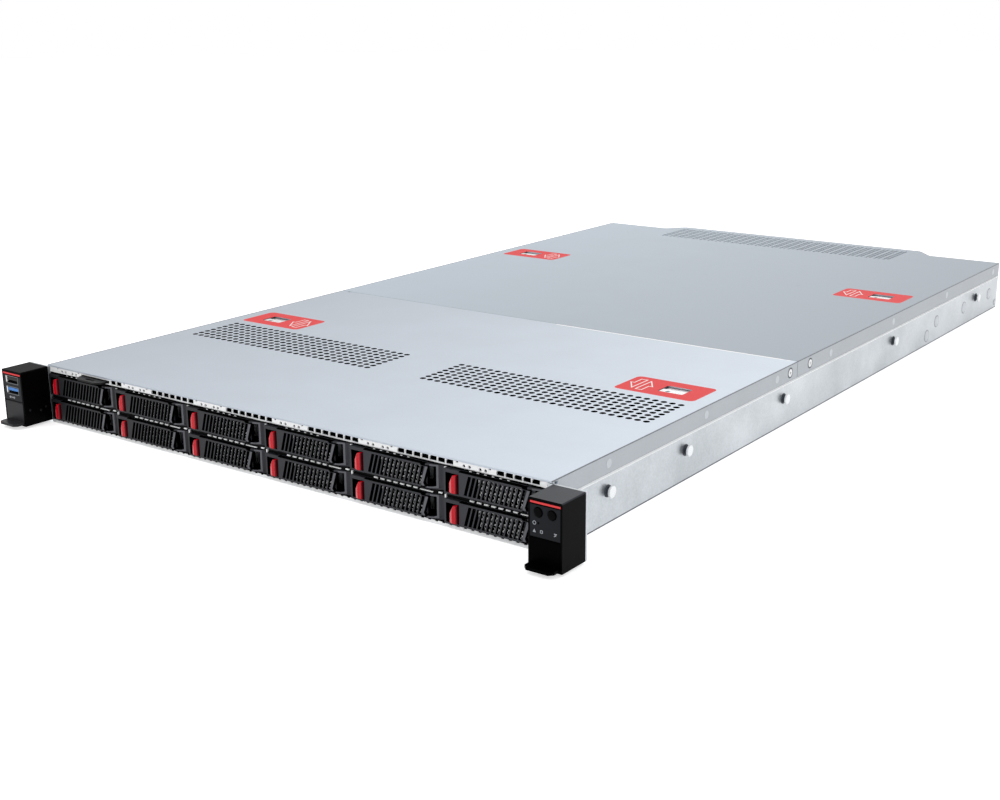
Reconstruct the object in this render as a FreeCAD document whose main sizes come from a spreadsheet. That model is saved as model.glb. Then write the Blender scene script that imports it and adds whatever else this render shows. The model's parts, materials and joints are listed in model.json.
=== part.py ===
import FreeCAD, Part
import math
import os
import Sketcher
from FreeCAD import Placement, Rotation, Vector

# One-unit rack server: a sheet-metal chassis with two lift-off covers, twelve hot-swap drive
# carriers in two rows of six, rack ears with hinged flaps, and the boards, fans and power
# supplies inside.
#
# Frame, in millimetres: X to the right as seen from the front, Y from the front edge of the
# chassis to the rear, Z up from the underside.  Every driving size is a cell of the sheet
# "Dimensions"; a Size carries the cell's number together with the formula that binds it.

DOC = FreeCAD.newDocument("RackServer")
SHEET = DOC.addObject("Spreadsheet::Sheet", "Dimensions")
NODES = []


# --------------------------------------------------------------------------- sizes

class Size:
    """A length that knows its number and the spreadsheet formula it comes from."""

    def __init__(self, value, text):
        self.value = float(value)
        self.text = text

    def __add__(self, other):
        other = as_size(other)
        return Size(self.value + other.value, f"({self.text} + {other.text})")

    def __sub__(self, other):
        other = as_size(other)
        return Size(self.value - other.value, f"({self.text} - {other.text})")

    def __mul__(self, other):
        other = as_size(other)
        return Size(self.value * other.value, f"({self.text} * {other.text})")

    def __truediv__(self, other):
        other = as_size(other)
        return Size(self.value / other.value, f"({self.text} / {other.text})")

    def __neg__(self):
        return Size(-self.value, f"(0 - {self.text})")

    __radd__ = __add__
    __rmul__ = __mul__


def as_size(number):
    """Let a plain number take part in a formula."""
    if isinstance(number, Size):
        return number
    return Size(number, repr(float(number)))


def dimension(name, value, note):
    """Write one driving size into the sheet and return it as a Size."""
    row = len(SIZES) + 1
    SHEET.set(f"A{row}", name)
    SHEET.set(f"B{row}", repr(value))
    SHEET.setAlias(f"B{row}", name)
    SHEET.set(f"C{row}", note)
    SIZES.append(name)
    return Size(value, f"Dimensions.{name}")


SIZES = []
ZERO = Size(0, "0")

# chassis and covers
body_width = dimension("body_width", 438.0, "chassis width between its side faces")
side_depth = dimension("side_depth", 770.0, "front edge to the rear wall at the sides")
overall_height = dimension("overall_height", 43.0, "underside to the top of the covers")
base_sheet = dimension("base_sheet", 1.2, "steel thickness of the base pan")
cover_sheet = dimension("cover_sheet", 1.0, "steel thickness of the covers")
side_step = dimension("side_step", 1.3, "inward step of the side wall under the cover flange")
flange_drop = dimension("flange_drop", 12.0, "height of the cover's side flange")
flange_start = dimension("flange_start", 6.0, "front end of the front cover's flanges")
slip = dimension("slip", 0.3, "clearance between pieces that lift or slide apart")
seam_at = dimension("seam_at", 314.0, "seam between the front and the rear cover")
rear_reach = dimension("rear_reach", 19.0, "how far the middle of the rear stands out")
rear_inset = dimension("rear_inset", 20.2, "rear extension inside the power supplies")
rear_blend = dimension("rear_blend", 16.0, "width of the cover's curve beside the extension")
bend_round = dimension("bend_round", 1.2, "outer bend radius of the covers")
blend_round = dimension("blend_round", 8.0, "plan radius of the rear cover's corners")

# rack ears
ear_width = dimension("ear_width", 22.0, "width of one ear housing")
ear_reach = dimension("ear_reach", 22.8, "how far the ears stand in front of the chassis")
ear_bottom = dimension("ear_bottom", 1.5, "underside of the ears")
ear_top = dimension("ear_top", 41.5, "top of the ears")
ear_wall = dimension("ear_wall", 1.1, "side wall of the ear beside the flap")
ear_back = dimension("ear_back", 2.0, "rear wall of the ear's cavity")
rack_plate = dimension("rack_plate", 1.5, "thickness of the steel rack flange")
screw_offset = dimension("screw_offset", 13.2, "rack screw from the ear's inner side")
rack_screw_z = dimension("rack_screw_z", 11.0, "height of the rack screws")
flap_top = dimension("flap_top", 18.0, "height of the flap's hinge")
flap_thick = dimension("flap_thick", 1.8, "thickness of the flap")
flap_bottom = dimension("flap_bottom", 2.8, "underside of the flap's lip")
lip_reach = dimension("lip_reach", 8.0, "how far the lip stands in front of the flap")
lip_thick = dimension("lip_thick", 1.8, "thickness of the lip")
lip_corner = dimension("lip_corner", 2.5, "chamfer at the lip's front corners")
stub_radius = dimension("stub_radius", 0.6, "radius of the flap's pivot stubs")
stub_length = dimension("stub_length", 0.9, "length of the flap's pivot stubs")
running = dimension("running", 0.06, "radial clearance of a pivot in its bore")

# what the ears carry
ear_round = dimension("ear_round", 0.6, "bevel along the ear's top edges")
screw_radius = dimension("screw_radius", 2.5, "radius of the rack screws")
head_radius = dimension("head_radius", 5.0, "radius of a rack screw's head")
head_length = dimension("head_length", 12.0, "length of a rack screw's head")
screw_reach = dimension("screw_reach", 10.5, "rack screw's end behind the chassis edge")
key_radius = dimension("key_radius", 2.75, "radius of the power and locate buttons")
key_spacing = dimension("key_spacing", 8.8, "distance between the two buttons")
key_z = dimension("key_z", 33.7, "height of the two buttons")
key_depth = dimension("key_depth", 5.5, "depth of the buttons' bores")
key_out = dimension("key_out", 0.8, "how far the buttons stand out")
key_round = dimension("key_round", 0.4, "bevel around the buttons' faces")
key_travel = dimension("key_travel", 0.7, "travel of the power and locate buttons")
usb_width = dimension("usb_width", 13.6, "width of a USB shell")
usb_height = dimension("usb_height", 5.8, "height of a USB shell")
usb_depth = dimension("usb_depth", 14.0, "depth of a USB shell")
usb_high = dimension("usb_high", 34.6, "middle of the upper USB port")
usb_low = dimension("usb_low", 26.8, "middle of the lower USB port")
usb_sheet = dimension("usb_sheet", 0.5, "thickness of a USB shell")

# drive bays
bay_margin = dimension("bay_margin", 4.2, "chassis width beside the six drive columns")
row_pitch = dimension("row_pitch", 18.5, "distance between the two drive rows")
partition = dimension("partition", 0.8, "thickness of the walls between the bays")
bay_gap = dimension("bay_gap", 0.2, "clearance of a carrier on each side of its bay")
bay_bottom = dimension("bay_bottom", 3.0, "underside of the lower carriers")
carrier_height = dimension("carrier_height", 15.3, "height of a carrier")
cage_depth = dimension("cage_depth", 116.0, "front edge of the chassis to the backplane")
cage_front = dimension("cage_front", 1.0, "front edge of the cage's shelves")
cage_top_sheet = dimension("cage_top_sheet", 1.0, "thickness of the cage's top plate")
strip_thick = dimension("strip_thick", 1.0, "thickness of the slotted front strip")
window_width = dimension("window_width", 4.9, "width of a window in the front strip")
window_low = dimension("window_low", 39.0, "lower edge of the strip's windows")
window_high = dimension("window_high", 41.3, "upper edge of the strip's windows")
window_pitch = dimension("window_pitch", 6.05, "distance between the strip's windows")
window_inset = dimension("window_inset", 35.3, "first window, from the right of its bay")
tag_at = dimension("tag_at", 50.7, "middle of the pull-out tag from the left bay's edge")
tag_width = dimension("tag_width", 28.0, "width of the pull-out tag")
tag_thick = dimension("tag_thick", 1.2, "thickness of the pull-out tag")
tag_low = dimension("tag_low", 39.5, "underside of the pull-out tag")
tag_out = dimension("tag_out", 8.0, "how far the tag stands out when stowed")
tag_length = dimension("tag_length", 60.0, "length of the pull-out tag")
tag_round = dimension("tag_round", 7.0, "corner radius of the tag's front")

# one drive carrier, measured from its lower left front corner
bezel_out = dimension("bezel_out", 1.7, "bezel in front of the chassis edge")
bezel_depth = dimension("bezel_depth", 10.7, "depth of the bezel block")
rail_sheet = dimension("rail_sheet", 0.6, "thickness of the carrier's side rails")
rail_length = dimension("rail_length", 99.0, "length of the carrier's side rails")
drive_spare = dimension("drive_spare", 1.25, "carrier width beside the drive")
drive_depth = dimension("drive_depth", 99.5, "length of a drive")
drive_height = dimension("drive_height", 14.8, "height of a drive")
pocket_left = dimension("pocket_left", 1.3, "left side of the button's pocket")
pocket_right = dimension("pocket_right", 10.8, "right side of the button's pocket")
pocket_rim = dimension("pocket_rim", 1.1, "rim above and below the pockets")
pocket_floor = dimension("pocket_floor", 5.0, "depth of the pockets behind the chassis edge")
button_left = dimension("button_left", 4.3, "left side of the release button")
button_spare = dimension("button_spare", 0.9, "release button from its pocket's right side")
button_slant = dimension("button_slant", 2.3, "width of the slant on the button's left side")
button_drop = dimension("button_drop", 1.0, "how far the slant falls back at the button's left side")
button_proud = dimension("button_proud", 1.6, "release button in front of the carrier's face")
button_travel = dimension("button_travel", 1.8, "travel of a carrier's release button")
button_round = dimension("button_round", 0.5, "bevel at the release button's right edge")
lever_left = dimension("lever_left", 11.4, "left end of the lever")
lever_front = dimension("lever_front", 2.2, "lever's face in front of the chassis edge")
lever_thick = dimension("lever_thick", 2.6, "thickness of the lever's plate")
kink_reach = dimension("kink_reach", 0.3, "lever's kink to the right of its hinge")
tip_reach = dimension("tip_reach", 3.8, "lever's top right of its hinge")
hinge_inset = dimension("hinge_inset", 13.9, "lever's hinge from the carrier's right side")
hinge_in = dimension("hinge_in", 2.0, "lever's hinge behind the chassis edge")
hinge_radius = dimension("hinge_radius", 1.5, "half width of the lever's knuckle")
pin_radius = dimension("pin_radius", 0.8, "radius of the lever's hinge pin")
slot_end = dimension("slot_end", 4.2, "last slot's lower left corner from the hinge")
slot_first = dimension("slot_first", 14.7, "lower left corner of the first slot")
slot_pitch = dimension("slot_pitch", 3.18, "distance between the lever's slots")
slot_width = dimension("slot_width", 2.2, "width of a slot")
slot_low = dimension("slot_low", 1.6, "lower end of the slots")
slot_high = dimension("slot_high", 13.6, "upper end of the slots")
slot_lean = dimension("slot_lean", 3.4, "how far a slot leans to the right over its height")
frame_inset = dimension("frame_inset", 3.4, "open pocket from the carrier's right side")
face_slope = dimension("face_slope", 4.0, "how far the bezel's right end falls back")

# cover latches
latch_inset = dimension("latch_inset", 34.5, "latches from the chassis sides")
front_latch_y = dimension("front_latch_y", 197.5, "front latches from the front edge")
latch_rear = dimension("latch_rear", 212.5, "rear latches from the rear wall")
latch_open_x = dimension("latch_open_x", 20.0, "width of the latch's opening")
latch_open_y = dimension("latch_open_y", 16.0, "depth of the latch's opening")
latch_sheet = dimension("latch_sheet", 1.2, "thickness of the latch's slide")
latch_travel = dimension("latch_travel", 6.0, "travel of a latch")
bracket_sheet = dimension("bracket_sheet", 0.8, "thickness of the latch's bracket")

# rail studs
stud_z = dimension("stud_z", 20.4, "height of the rail studs")
stud_neck = dimension("stud_neck", 2.2, "radius of a rail stud's neck")
stud_head = dimension("stud_head", 3.6, "radius of a rail stud's head")
stud_gap = dimension("stud_gap", 2.4, "length of a rail stud's neck")
stud_cap = dimension("stud_cap", 1.2, "thickness of a rail stud's head")
STUD_PLACES = [
    dimension("stud_one", 58.0, "first rail stud from the front edge"),
    dimension("stud_two", 150.5, "second rail stud"),
    dimension("stud_three", 292.5, "third rail stud"),
    side_depth - dimension("stud_four", 270.0, "fourth rail stud from the rear wall"),
    side_depth - dimension("stud_five", 64.0, "fifth rail stud from the rear wall"),
]

# inside
board_z = dimension("board_z", 5.5, "underside of the system board")
board_thick = dimension("board_thick", 1.6, "thickness of the circuit boards")
board_lead = dimension("board_lead", 62.0, "board in front of the memory modules")
board_margin = dimension("board_margin", 14.0, "chassis width beside the system board")
board_clear = dimension("board_clear", 18.0, "power supplies behind the wide board")
board_edge = dimension("board_edge", 2.0, "board's rear part inside the extension")
socket_height = dimension("socket_height", 3.4, "height of the memory sockets")
memory_length = dimension("memory_length", 133.35, "length of a memory module")
memory_height = dimension("memory_height", 30.0, "height of a memory module")
memory_thick = dimension("memory_thick", 1.4, "thickness of a memory module")
memory_pitch = dimension("memory_pitch", 8.2, "distance between memory modules")
memory_rear = dimension("memory_rear", 378.0, "memory modules' front from the rear wall")
sink_gap = dimension("sink_gap", 9.0, "shift of the heat sinks to the middle")
sink_width = dimension("sink_width", 78.0, "width of a heat sink")
sink_depth = dimension("sink_depth", 108.0, "depth of a heat sink")
sink_base = dimension("sink_base", 5.0, "thickness of a heat sink's base")
sink_top = dimension("sink_top", 40.0, "top of the heat sinks")
fin_thick = dimension("fin_thick", 0.8, "thickness of a fin")
processor_height = dimension("processor_height", 6.0, "height of socket and processor")
fan_size = dimension("fan_size", 38.5, "width and height of a fan")
fan_depth = dimension("fan_depth", 56.0, "depth of a fan")
fan_margin = dimension("fan_margin", 22.0, "chassis width beside the eight fans")
fan_lead = dimension("fan_lead", 80.0, "fans' front from the system board")
fan_bore = dimension("fan_bore", 17.8, "radius of a fan's duct")
hub_radius = dimension("hub_radius", 8.0, "radius of a fan's hub")
plug_depth = dimension("plug_depth", 5.7, "depth of a drive plug on the backplane")

# power supplies
supply_width = dimension("supply_width", 62.0, "width of a power supply")
supply_height = dimension("supply_height", 38.5, "height of a power supply")
supply_length = dimension("supply_length", 192.0, "length of a power supply")
supply_inset = dimension("supply_inset", 2.8, "power supplies from the chassis sides")
handle_reach = dimension("handle_reach", 20.0, "how far a power supply's handle stands out")
handle_thick = dimension("handle_thick", 3.0, "thickness of a power supply's handle")

# openings in the rear wall
port_inset = dimension("port_inset", 14.0, "first port from the extension's left side")
slit_edge = dimension("slit_edge", 10.0, "wall left beside the three groups of slits")
port_width = dimension("port_width", 16.0, "width of a rear port's opening")
port_height = dimension("port_height", 13.5, "height of a rear port's opening")
port_low = dimension("port_low", 7.4, "lower edge of the rear ports")
port_pitch = dimension("port_pitch", 24.0, "distance between the rear ports")
slit_width = dimension("slit_width", 3.2, "width of a ventilation slit in the rear wall")
slit_height = dimension("slit_height", 11.0, "height of a ventilation slit")
slit_low = dimension("slit_low", 26.5, "lower edge of the ventilation slits")
slit_pitch = dimension("slit_pitch", 7.4, "distance between the slits of a group")
slit_count = 10

# places that several pieces share
HALF = body_width / 2
WALL_TOP = overall_height - cover_sheet - slip
LEDGE = overall_height - flange_drop - slip
REAR_END = side_depth + rear_reach
COLUMN_PITCH = (body_width - bay_margin) / 6
BAYS_LEFT = -(COLUMN_PITCH * 3)
CARRIER_LEFT = partition / 2 + bay_gap
CARRIER_WIDTH = COLUMN_PITCH - partition - bay_gap * 2
DRIVE_WIDTH = CARRIER_WIDTH - drive_spare
FRAME_RIGHT = CARRIER_WIDTH - frame_inset
HINGE_X = CARRIER_WIDTH - hinge_inset
LEVER_KINK = HINGE_X + kink_reach
LEVER_TIP = HINGE_X + tip_reach
SLOT_COUNT = int(((HINGE_X - slot_end - slot_first) / slot_pitch).value) + 1
WINDOW_FIRST = COLUMN_PITCH - window_inset
FLOOR_TOP = bay_bottom - slip
SHELF_LOW = bay_bottom + carrier_height + slip
SHELF_HIGH = bay_bottom + row_pitch - slip
CAGE_CEILING = bay_bottom + row_pitch + carrier_height + slip
CAGE_HALF = HALF - side_step - base_sheet - bay_gap
EAR_IN = HALF + slip
EAR_OUT = EAR_IN + ear_width
SCREW_X = EAR_IN + screw_offset
SHOULDER_RADIUS = screw_radius + 0.2
SCREW_HOLE = screw_radius + 0.5
FLAP_IN = EAR_IN + ear_wall + slip
FLAP_OUT = EAR_OUT - ear_wall - slip
LATCH_X = HALF - latch_inset
REAR_LATCH_Y = side_depth - latch_rear
SUPPLY_EDGE = HALF - supply_inset
SUPPLY_IN = SUPPLY_EDGE - supply_width
SUPPLY_LOW = base_sheet + slip
REAR_HALF = SUPPLY_IN - rear_inset
PORT_FIRST = port_inset - REAR_HALF
SLIT_GROUP = (REAR_HALF * 2 - slit_edge) / 3
MEMORY_Y = side_depth - memory_rear
BOARD_FRONT = MEMORY_Y - board_lead
BOARD_WIDE = body_width - board_margin
BOARD_SHOULDER = side_depth - supply_length - board_clear
BOARD_NARROW = (REAR_HALF - board_edge) * 2
SINK_X = (HALF - sink_gap) / 2
FAN_PITCH = (body_width - fan_margin) / 8
FAN_Y = BOARD_FRONT - fan_lead


# --------------------------------------------------------------------------- tools

def plane_of(body, role):
    """The body's own origin plane with the given role."""
    for feature in body.Origin.OriginFeatures:
        if feature.Role == role:
            return feature
    raise ValueError(role)


def new_body(label):
    """An empty PartDesign body."""
    body = DOC.addObject("PartDesign::Body", label)
    body.Label = label
    return body


def node(item, label):
    """Mark an object as a sub-part: its Label names its file."""
    item.Label = label
    NODES.append(item)
    return item


def new_sketch(body, plane, start):
    """A sketch on an origin plane, moved along the plane's world axis by start."""
    sketch = body.newObject("Sketcher::SketchObject", "Sketch")
    sketch.AttachmentSupport = (plane_of(body, plane + "_Plane"), [""])
    sketch.MapMode = "FlatFace"
    shift = -start if plane == "XZ" else start
    sketch.AttachmentOffset = Placement(Vector(0, 0, shift.value), Rotation())
    sketch.setExpression("AttachmentOffset.Base.z", shift.text)
    return sketch


def hold(sketch, kind, index, place, size):
    """Fix one coordinate of a sketch point to a sheet formula."""
    number = sketch.addConstraint(Sketcher.Constraint(kind, -1, 1, index, place, size.value))
    sketch.setExpression(f"Constraints[{number}]", size.text)


def draw_polygon(sketch, points):
    """Add a closed polygon whose corners are bound to the sheet."""
    corners = [(as_size(a), as_size(b)) for a, b in points]
    first = sketch.GeometryCount
    count = len(corners)
    for index in range(count):
        here = corners[index]
        there = corners[(index + 1) % count]
        line = Part.LineSegment(
            Vector(here[0].value, here[1].value, 0), Vector(there[0].value, there[1].value, 0))
        sketch.addGeometry(line, False)
    for index in range(count):
        follower = first + (index + 1) % count
        sketch.addConstraint(Sketcher.Constraint("Coincident", first + index, 2, follower, 1))
    for index in range(count):
        hold(sketch, "DistanceX", first + index, 1, corners[index][0])
        hold(sketch, "DistanceY", first + index, 1, corners[index][1])


def draw_circle(sketch, centre, radius):
    """Add a circle whose centre and radius are bound to the sheet."""
    across, up = as_size(centre[0]), as_size(centre[1])
    radius = as_size(radius)
    index = sketch.GeometryCount
    circle = Part.Circle(Vector(across.value, up.value, 0), Vector(0, 0, 1), radius.value)
    sketch.addGeometry(circle, False)
    hold(sketch, "DistanceX", index, 3, across)
    hold(sketch, "DistanceY", index, 3, up)
    number = sketch.addConstraint(Sketcher.Constraint("Radius", index, radius.value))
    sketch.setExpression(f"Constraints[{number}]", radius.text)


def extrude(body, kind, sketch, length, plane):
    """Pad or pocket a sketch by length along the plane's positive world axis."""
    feature = body.newObject("PartDesign::" + kind, kind)
    feature.Profile = sketch
    length = as_size(length)
    feature.Length = length.value
    feature.setExpression("Length", length.text)
    forward = plane != "XZ"
    feature.Reversed = not forward if kind == "Pad" else forward
    sketch.Visibility = False
    body.Tip = feature
    return feature


def box_outline(low, high):
    """The corners of an upright rectangle."""
    return [(low[0], low[1]), (high[0], low[1]), (high[0], high[1]), (low[0], high[1])]


def ring(centre, radius, sides):
    """Corners of a regular polygon.  Small round details have flats, which keeps them light."""
    across, up = as_size(centre[0]), as_size(centre[1])
    corners = []
    for index in range(sides):
        angle = 2 * math.pi * (index + 0.5) / sides
        corners.append((across + radius * math.cos(angle), up + radius * math.sin(angle)))
    return corners


def pad(body, plane, points, start, length):
    """Add a prism with a polygon section."""
    sketch = new_sketch(body, plane, as_size(start))
    draw_polygon(sketch, points)
    return extrude(body, "Pad", sketch, length, plane)


def cut(body, plane, points, start, length):
    """Remove a prism with a polygon section, and check that it bit."""
    DOC.recompute()
    before = body.Shape.Volume
    sketch = new_sketch(body, plane, as_size(start))
    draw_polygon(sketch, points)
    feature = extrude(body, "Pocket", sketch, length, plane)
    DOC.recompute()
    if not body.Shape.Volume < before:
        raise ValueError(f"{body.Label}: a cut removed nothing")
    return feature


def pad_round(body, plane, centre, radius, start, length):
    """Add a round bar."""
    sketch = new_sketch(body, plane, as_size(start))
    draw_circle(sketch, centre, radius)
    return extrude(body, "Pad", sketch, length, plane)


def cut_round(body, plane, centre, radius, start, length):
    """Drill a round hole, and check that it bit."""
    DOC.recompute()
    before = body.Shape.Volume
    sketch = new_sketch(body, plane, as_size(start))
    draw_circle(sketch, centre, radius)
    feature = extrude(body, "Pocket", sketch, length, plane)
    DOC.recompute()
    if not body.Shape.Volume < before:
        raise ValueError(f"{body.Label}: a hole removed nothing")
    return feature


def repeat(body, feature, axis, span, count, span_two=None, count_two=1):
    """Repeat a feature along a sketch axis, or along both."""
    pattern = body.newObject("PartDesign::LinearPattern", "Pattern")
    pattern.Originals = [feature]
    pattern.Direction = (feature.Profile[0], [axis])
    pattern.Length = span.value
    pattern.setExpression("Length", span.text)
    pattern.Occurrences = count
    if span_two is not None:
        pattern.Direction2 = (feature.Profile[0], ["V_Axis" if axis == "H_Axis" else "H_Axis"])
        pattern.Length2 = span_two.value
        pattern.setExpression("Length2", span_two.text)
        pattern.Occurrences2 = count_two
    body.Tip = pattern
    return pattern


def dress(body, kind, size, wanted):
    """Fillet or chamfer the edges that a test picks out of the body's shape."""
    DOC.recompute()
    base = body.Tip
    names = [f"Edge{i + 1}" for i, edge in enumerate(base.Shape.Edges) if wanted(edge)]
    if not names:
        raise ValueError(f"{body.Label}: no edge to dress")
    feature = body.newObject("PartDesign::" + kind, kind)
    feature.Base = (base, names)
    setting = "Radius" if kind == "Fillet" else "Size"
    setattr(feature, setting, size.value)
    feature.setExpression(setting, size.text)
    body.Tip = feature
    return feature


def runs_along(edge, axis):
    """True for a straight edge parallel to the given world axis."""
    if edge.Curve.TypeId != "Part::GeomLine":
        return False
    step = edge.Vertexes[1].Point - edge.Vertexes[0].Point
    return abs(abs(step.normalize().dot(axis)) - 1) < 1e-6


def near(edge, **places):
    """True when the middle of the edge has the given coordinates."""
    centre = edge.CenterOfMass
    return all(abs(getattr(centre, key) - value) < 0.05 for key, value in places.items())


X_AXIS = Vector(1, 0, 0)
Y_AXIS = Vector(0, 1, 0)
Z_AXIS = Vector(0, 0, 1)


def place(item, x, y, z):
    """Bind an object's position to the sheet."""
    item.Placement = Placement(Vector(x.value, y.value, z.value), Rotation())
    item.setExpression("Placement.Base.x", x.text)
    item.setExpression("Placement.Base.y", y.text)
    item.setExpression("Placement.Base.z", z.text)


def copy_of(item, label, x, y, z):
    """A further copy of a finished piece, placed by the sheet."""
    twin = DOC.addObject("Part::Feature", label)
    shape = item.Shape.copy()
    shape.Placement = Placement()
    twin.Shape = shape
    place(twin, x, y, z)
    return twin


def solid_box(label, size, low):
    """A plain Part box bound to the sheet."""
    box = DOC.addObject("Part::Box", label)
    for key, value in zip(("Length", "Width", "Height"), size):
        setattr(box, key, value.value)
        box.setExpression(key, value.text)
    place(box, *low)
    return box


# --------------------------------------------------------------------------- chassis

def base_profile():
    """Section of the base pan: floor, side walls and the step that takes the flange."""
    outer = HALF
    upper = HALF - side_step
    right = [
        (outer, ZERO),
        (outer, LEDGE),
        (upper, LEDGE),
        (upper, WALL_TOP),
        (upper - base_sheet, WALL_TOP),
        (upper - base_sheet, LEDGE - base_sheet),
        (outer - base_sheet, LEDGE - base_sheet),
        (outer - base_sheet, base_sheet),
    ]
    left = [(-across, up) for across, up in reversed(right)]
    return right + left


def rear_wall_outline(half):
    """Plan of the stepped rear wall, one sheet thick and as wide as the side walls there."""
    outside = [
        (half, side_depth),
        (REAR_HALF, side_depth),
        (REAR_HALF, REAR_END),
    ]
    inside = [
        (REAR_HALF - base_sheet, REAR_END - base_sheet),
        (REAR_HALF - base_sheet, side_depth - base_sheet),
        (half, side_depth - base_sheet),
    ]
    mirrored_out = [(-across, along) for across, along in reversed(outside)]
    mirrored_in = [(-across, along) for across, along in reversed(inside)]
    return outside + mirrored_out + mirrored_in + inside


def make_base():
    """Base pan with rack flanges, stepped rear wall, openings and rail studs."""
    body = new_body("chassis_base")
    pad(body, "XZ", base_profile(), 0, side_depth)
    pad(body, "XY", rear_wall_outline(HALF), 0, LEDGE)
    pad(body, "XY", rear_wall_outline(HALF - side_step), LEDGE, WALL_TOP - LEDGE)
    floor = box_outline((-REAR_HALF, side_depth - base_sheet), (REAR_HALF, REAR_END))
    pad(body, "XY", floor, 0, base_sheet)
    for side in (1, -1):
        flange = box_outline(((HALF - base_sheet) * side, ear_bottom), (EAR_OUT * side, ear_top))
        pad(body, "XZ", flange, 0, rack_plate)
        cut_round(body, "XZ", (SCREW_X * side, rack_screw_z), SCREW_HOLE, -1, rack_plate + 2)
        cut_supply_opening(body, side)
    cut_rear_ports(body)
    for side in (1, -1):
        for along in STUD_PLACES:
            start = HALF if side > 0 else -HALF - stud_gap
            cap = HALF + stud_gap if side > 0 else -HALF - stud_gap - stud_cap
            pad(body, "YZ", ring((along, stud_z), stud_neck, 8), start, stud_gap)
            pad(body, "YZ", ring((along, stud_z), stud_head, 16), cap, stud_cap)
    return node(body, "chassis_base")




def cut_supply_opening(body, side):
    """Opening in the rear wall for one power supply."""
    low = ((SUPPLY_IN - slip) * side, base_sheet)
    high = ((SUPPLY_EDGE + slip) * side, SUPPLY_LOW + supply_height + slip)
    cut(body, "XZ", box_outline(low, high), side_depth - base_sheet * 2, base_sheet * 4)




def cut_rear_ports(body):
    """Three groups of slits above, a row of connector openings below."""
    start = REAR_END - base_sheet * 2
    for group in (-1, 0, 1):
        left = SLIT_GROUP * group - slit_pitch * (slit_count - 1) / 2 - slit_width / 2
        slit = cut(body, "XZ", box_outline((left, slit_low), (left + slit_width, slit_low + slit_height)),
                   start, base_sheet * 3)
        repeat(body, slit, "H_Axis", slit_pitch * (slit_count - 1), slit_count)
    port = cut(body, "XZ", box_outline((PORT_FIRST, port_low),
                                       (PORT_FIRST + port_width, port_low + port_height)),
               start, base_sheet * 3)
    repeat(body, port, "H_Axis", port_pitch * 4, 5)


def make_cage():
    """Drive cage: floor, shelf and top plate, the walls between bays and the front strip."""
    body = new_body("drive_cage")
    depth = cage_depth - cage_front
    lower_half = HALF - base_sheet - bay_gap
    pad(body, "XY", box_outline((-lower_half, cage_front), (lower_half, cage_depth)),
        base_sheet, FLOOR_TOP - base_sheet)
    for column in range(-2, 3):
        middle = COLUMN_PITCH * column
        section = box_outline((middle - partition / 2, FLOOR_TOP), (middle + partition / 2, CAGE_CEILING))
        pad(body, "XZ", section, cage_front, depth)
    pad(body, "XY", box_outline((-lower_half, cage_front), (lower_half, cage_depth)),
        SHELF_LOW, SHELF_HIGH - SHELF_LOW)
    pad(body, "XY", box_outline((-CAGE_HALF, ZERO), (CAGE_HALF, cage_depth)),
        CAGE_CEILING, cage_top_sheet)
    strip_top = overall_height - cover_sheet - slip / 3
    pad(body, "XZ", box_outline((-CAGE_HALF, CAGE_CEILING), (CAGE_HALF, strip_top)), 0, strip_thick)
    cut_strip_windows(body)
    add_tag_guides(body)
    return node(body, "drive_cage")


def cut_strip_windows(body):
    """Rows of windows in the strip above each bay, and the slot of the pull-out tag."""
    for column in range(6):
        first = 5 if column == 0 else 0
        last = 4 if column == 5 else 6
        left = BAYS_LEFT + COLUMN_PITCH * column + WINDOW_FIRST + window_pitch * first
        window = cut(body, "XZ", box_outline((left, window_low), (left + window_width, window_high)),
                     -1, strip_thick + 2)
        count = last - first + 1
        repeat(body, window, "H_Axis", window_pitch * (count - 1), count)
    middle = BAYS_LEFT + tag_at
    half = tag_width / 2 + slip * 4
    cut(body, "XZ", box_outline((middle - half, window_low), (middle + half, window_high)),
        -1, strip_thick + 2)


def add_tag_guides(body):
    """Three rails on the top plate: one under the pull-out tag, one at each side."""
    middle = BAYS_LEFT + tag_at
    floor = CAGE_CEILING + cage_top_sheet
    length = tag_length - tag_out - cage_front * 2
    under = box_outline((middle - 4, floor), (middle + 4, tag_low - slip))
    pad(body, "XZ", under, cage_front * 2, length)
    for side in (1, -1):
        near_side = middle + (tag_width / 2 + slip) * side
        far_side = middle + (tag_width / 2 + slip + 1.2) * side
        pad(body, "XZ", box_outline((near_side, floor), (far_side, tag_low + tag_thick)),
            cage_front * 2, length)


def make_backplane():
    """Board behind the drives with a plug for each and air windows between the plugs."""
    body = new_body("drive_backplane")
    half = CAGE_HALF - slip
    pad(body, "XZ", box_outline((-half, FLOOR_TOP + 1), (half, WALL_TOP - 1)), cage_depth, board_thick + 0.8)
    plug_width = COLUMN_PITCH * 0.45
    left = BAYS_LEFT + COLUMN_PITCH / 2 - plug_width / 2
    low = bay_bottom + 3
    plug = pad(body, "XZ", box_outline((left, low), (left + plug_width, low + 5)),
               cage_depth - plug_depth, plug_depth)
    DOC.recompute()
    repeat(body, plug, "H_Axis", COLUMN_PITCH * 5, 6, row_pitch, 2)
    DOC.recompute()
    air = cut(body, "XZ", box_outline((left, bay_bottom + 10), (left + plug_width, bay_bottom + 14)),
              cage_depth - 1, board_thick + 4)
    repeat(body, air, "H_Axis", COLUMN_PITCH * 5, 6, row_pitch, 2)
    return node(body, "drive_backplane")


# --------------------------------------------------------------------------- covers

def cover_profile():
    """Section of a cover: top sheet with a flange down each side."""
    low = overall_height - flange_drop
    right = [
        (HALF - cover_sheet, overall_height - cover_sheet),
        (HALF - cover_sheet, low),
        (HALF, low),
        (HALF, overall_height),
    ]
    left = [(-across, up) for across, up in reversed(right)]
    return right + left


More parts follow.
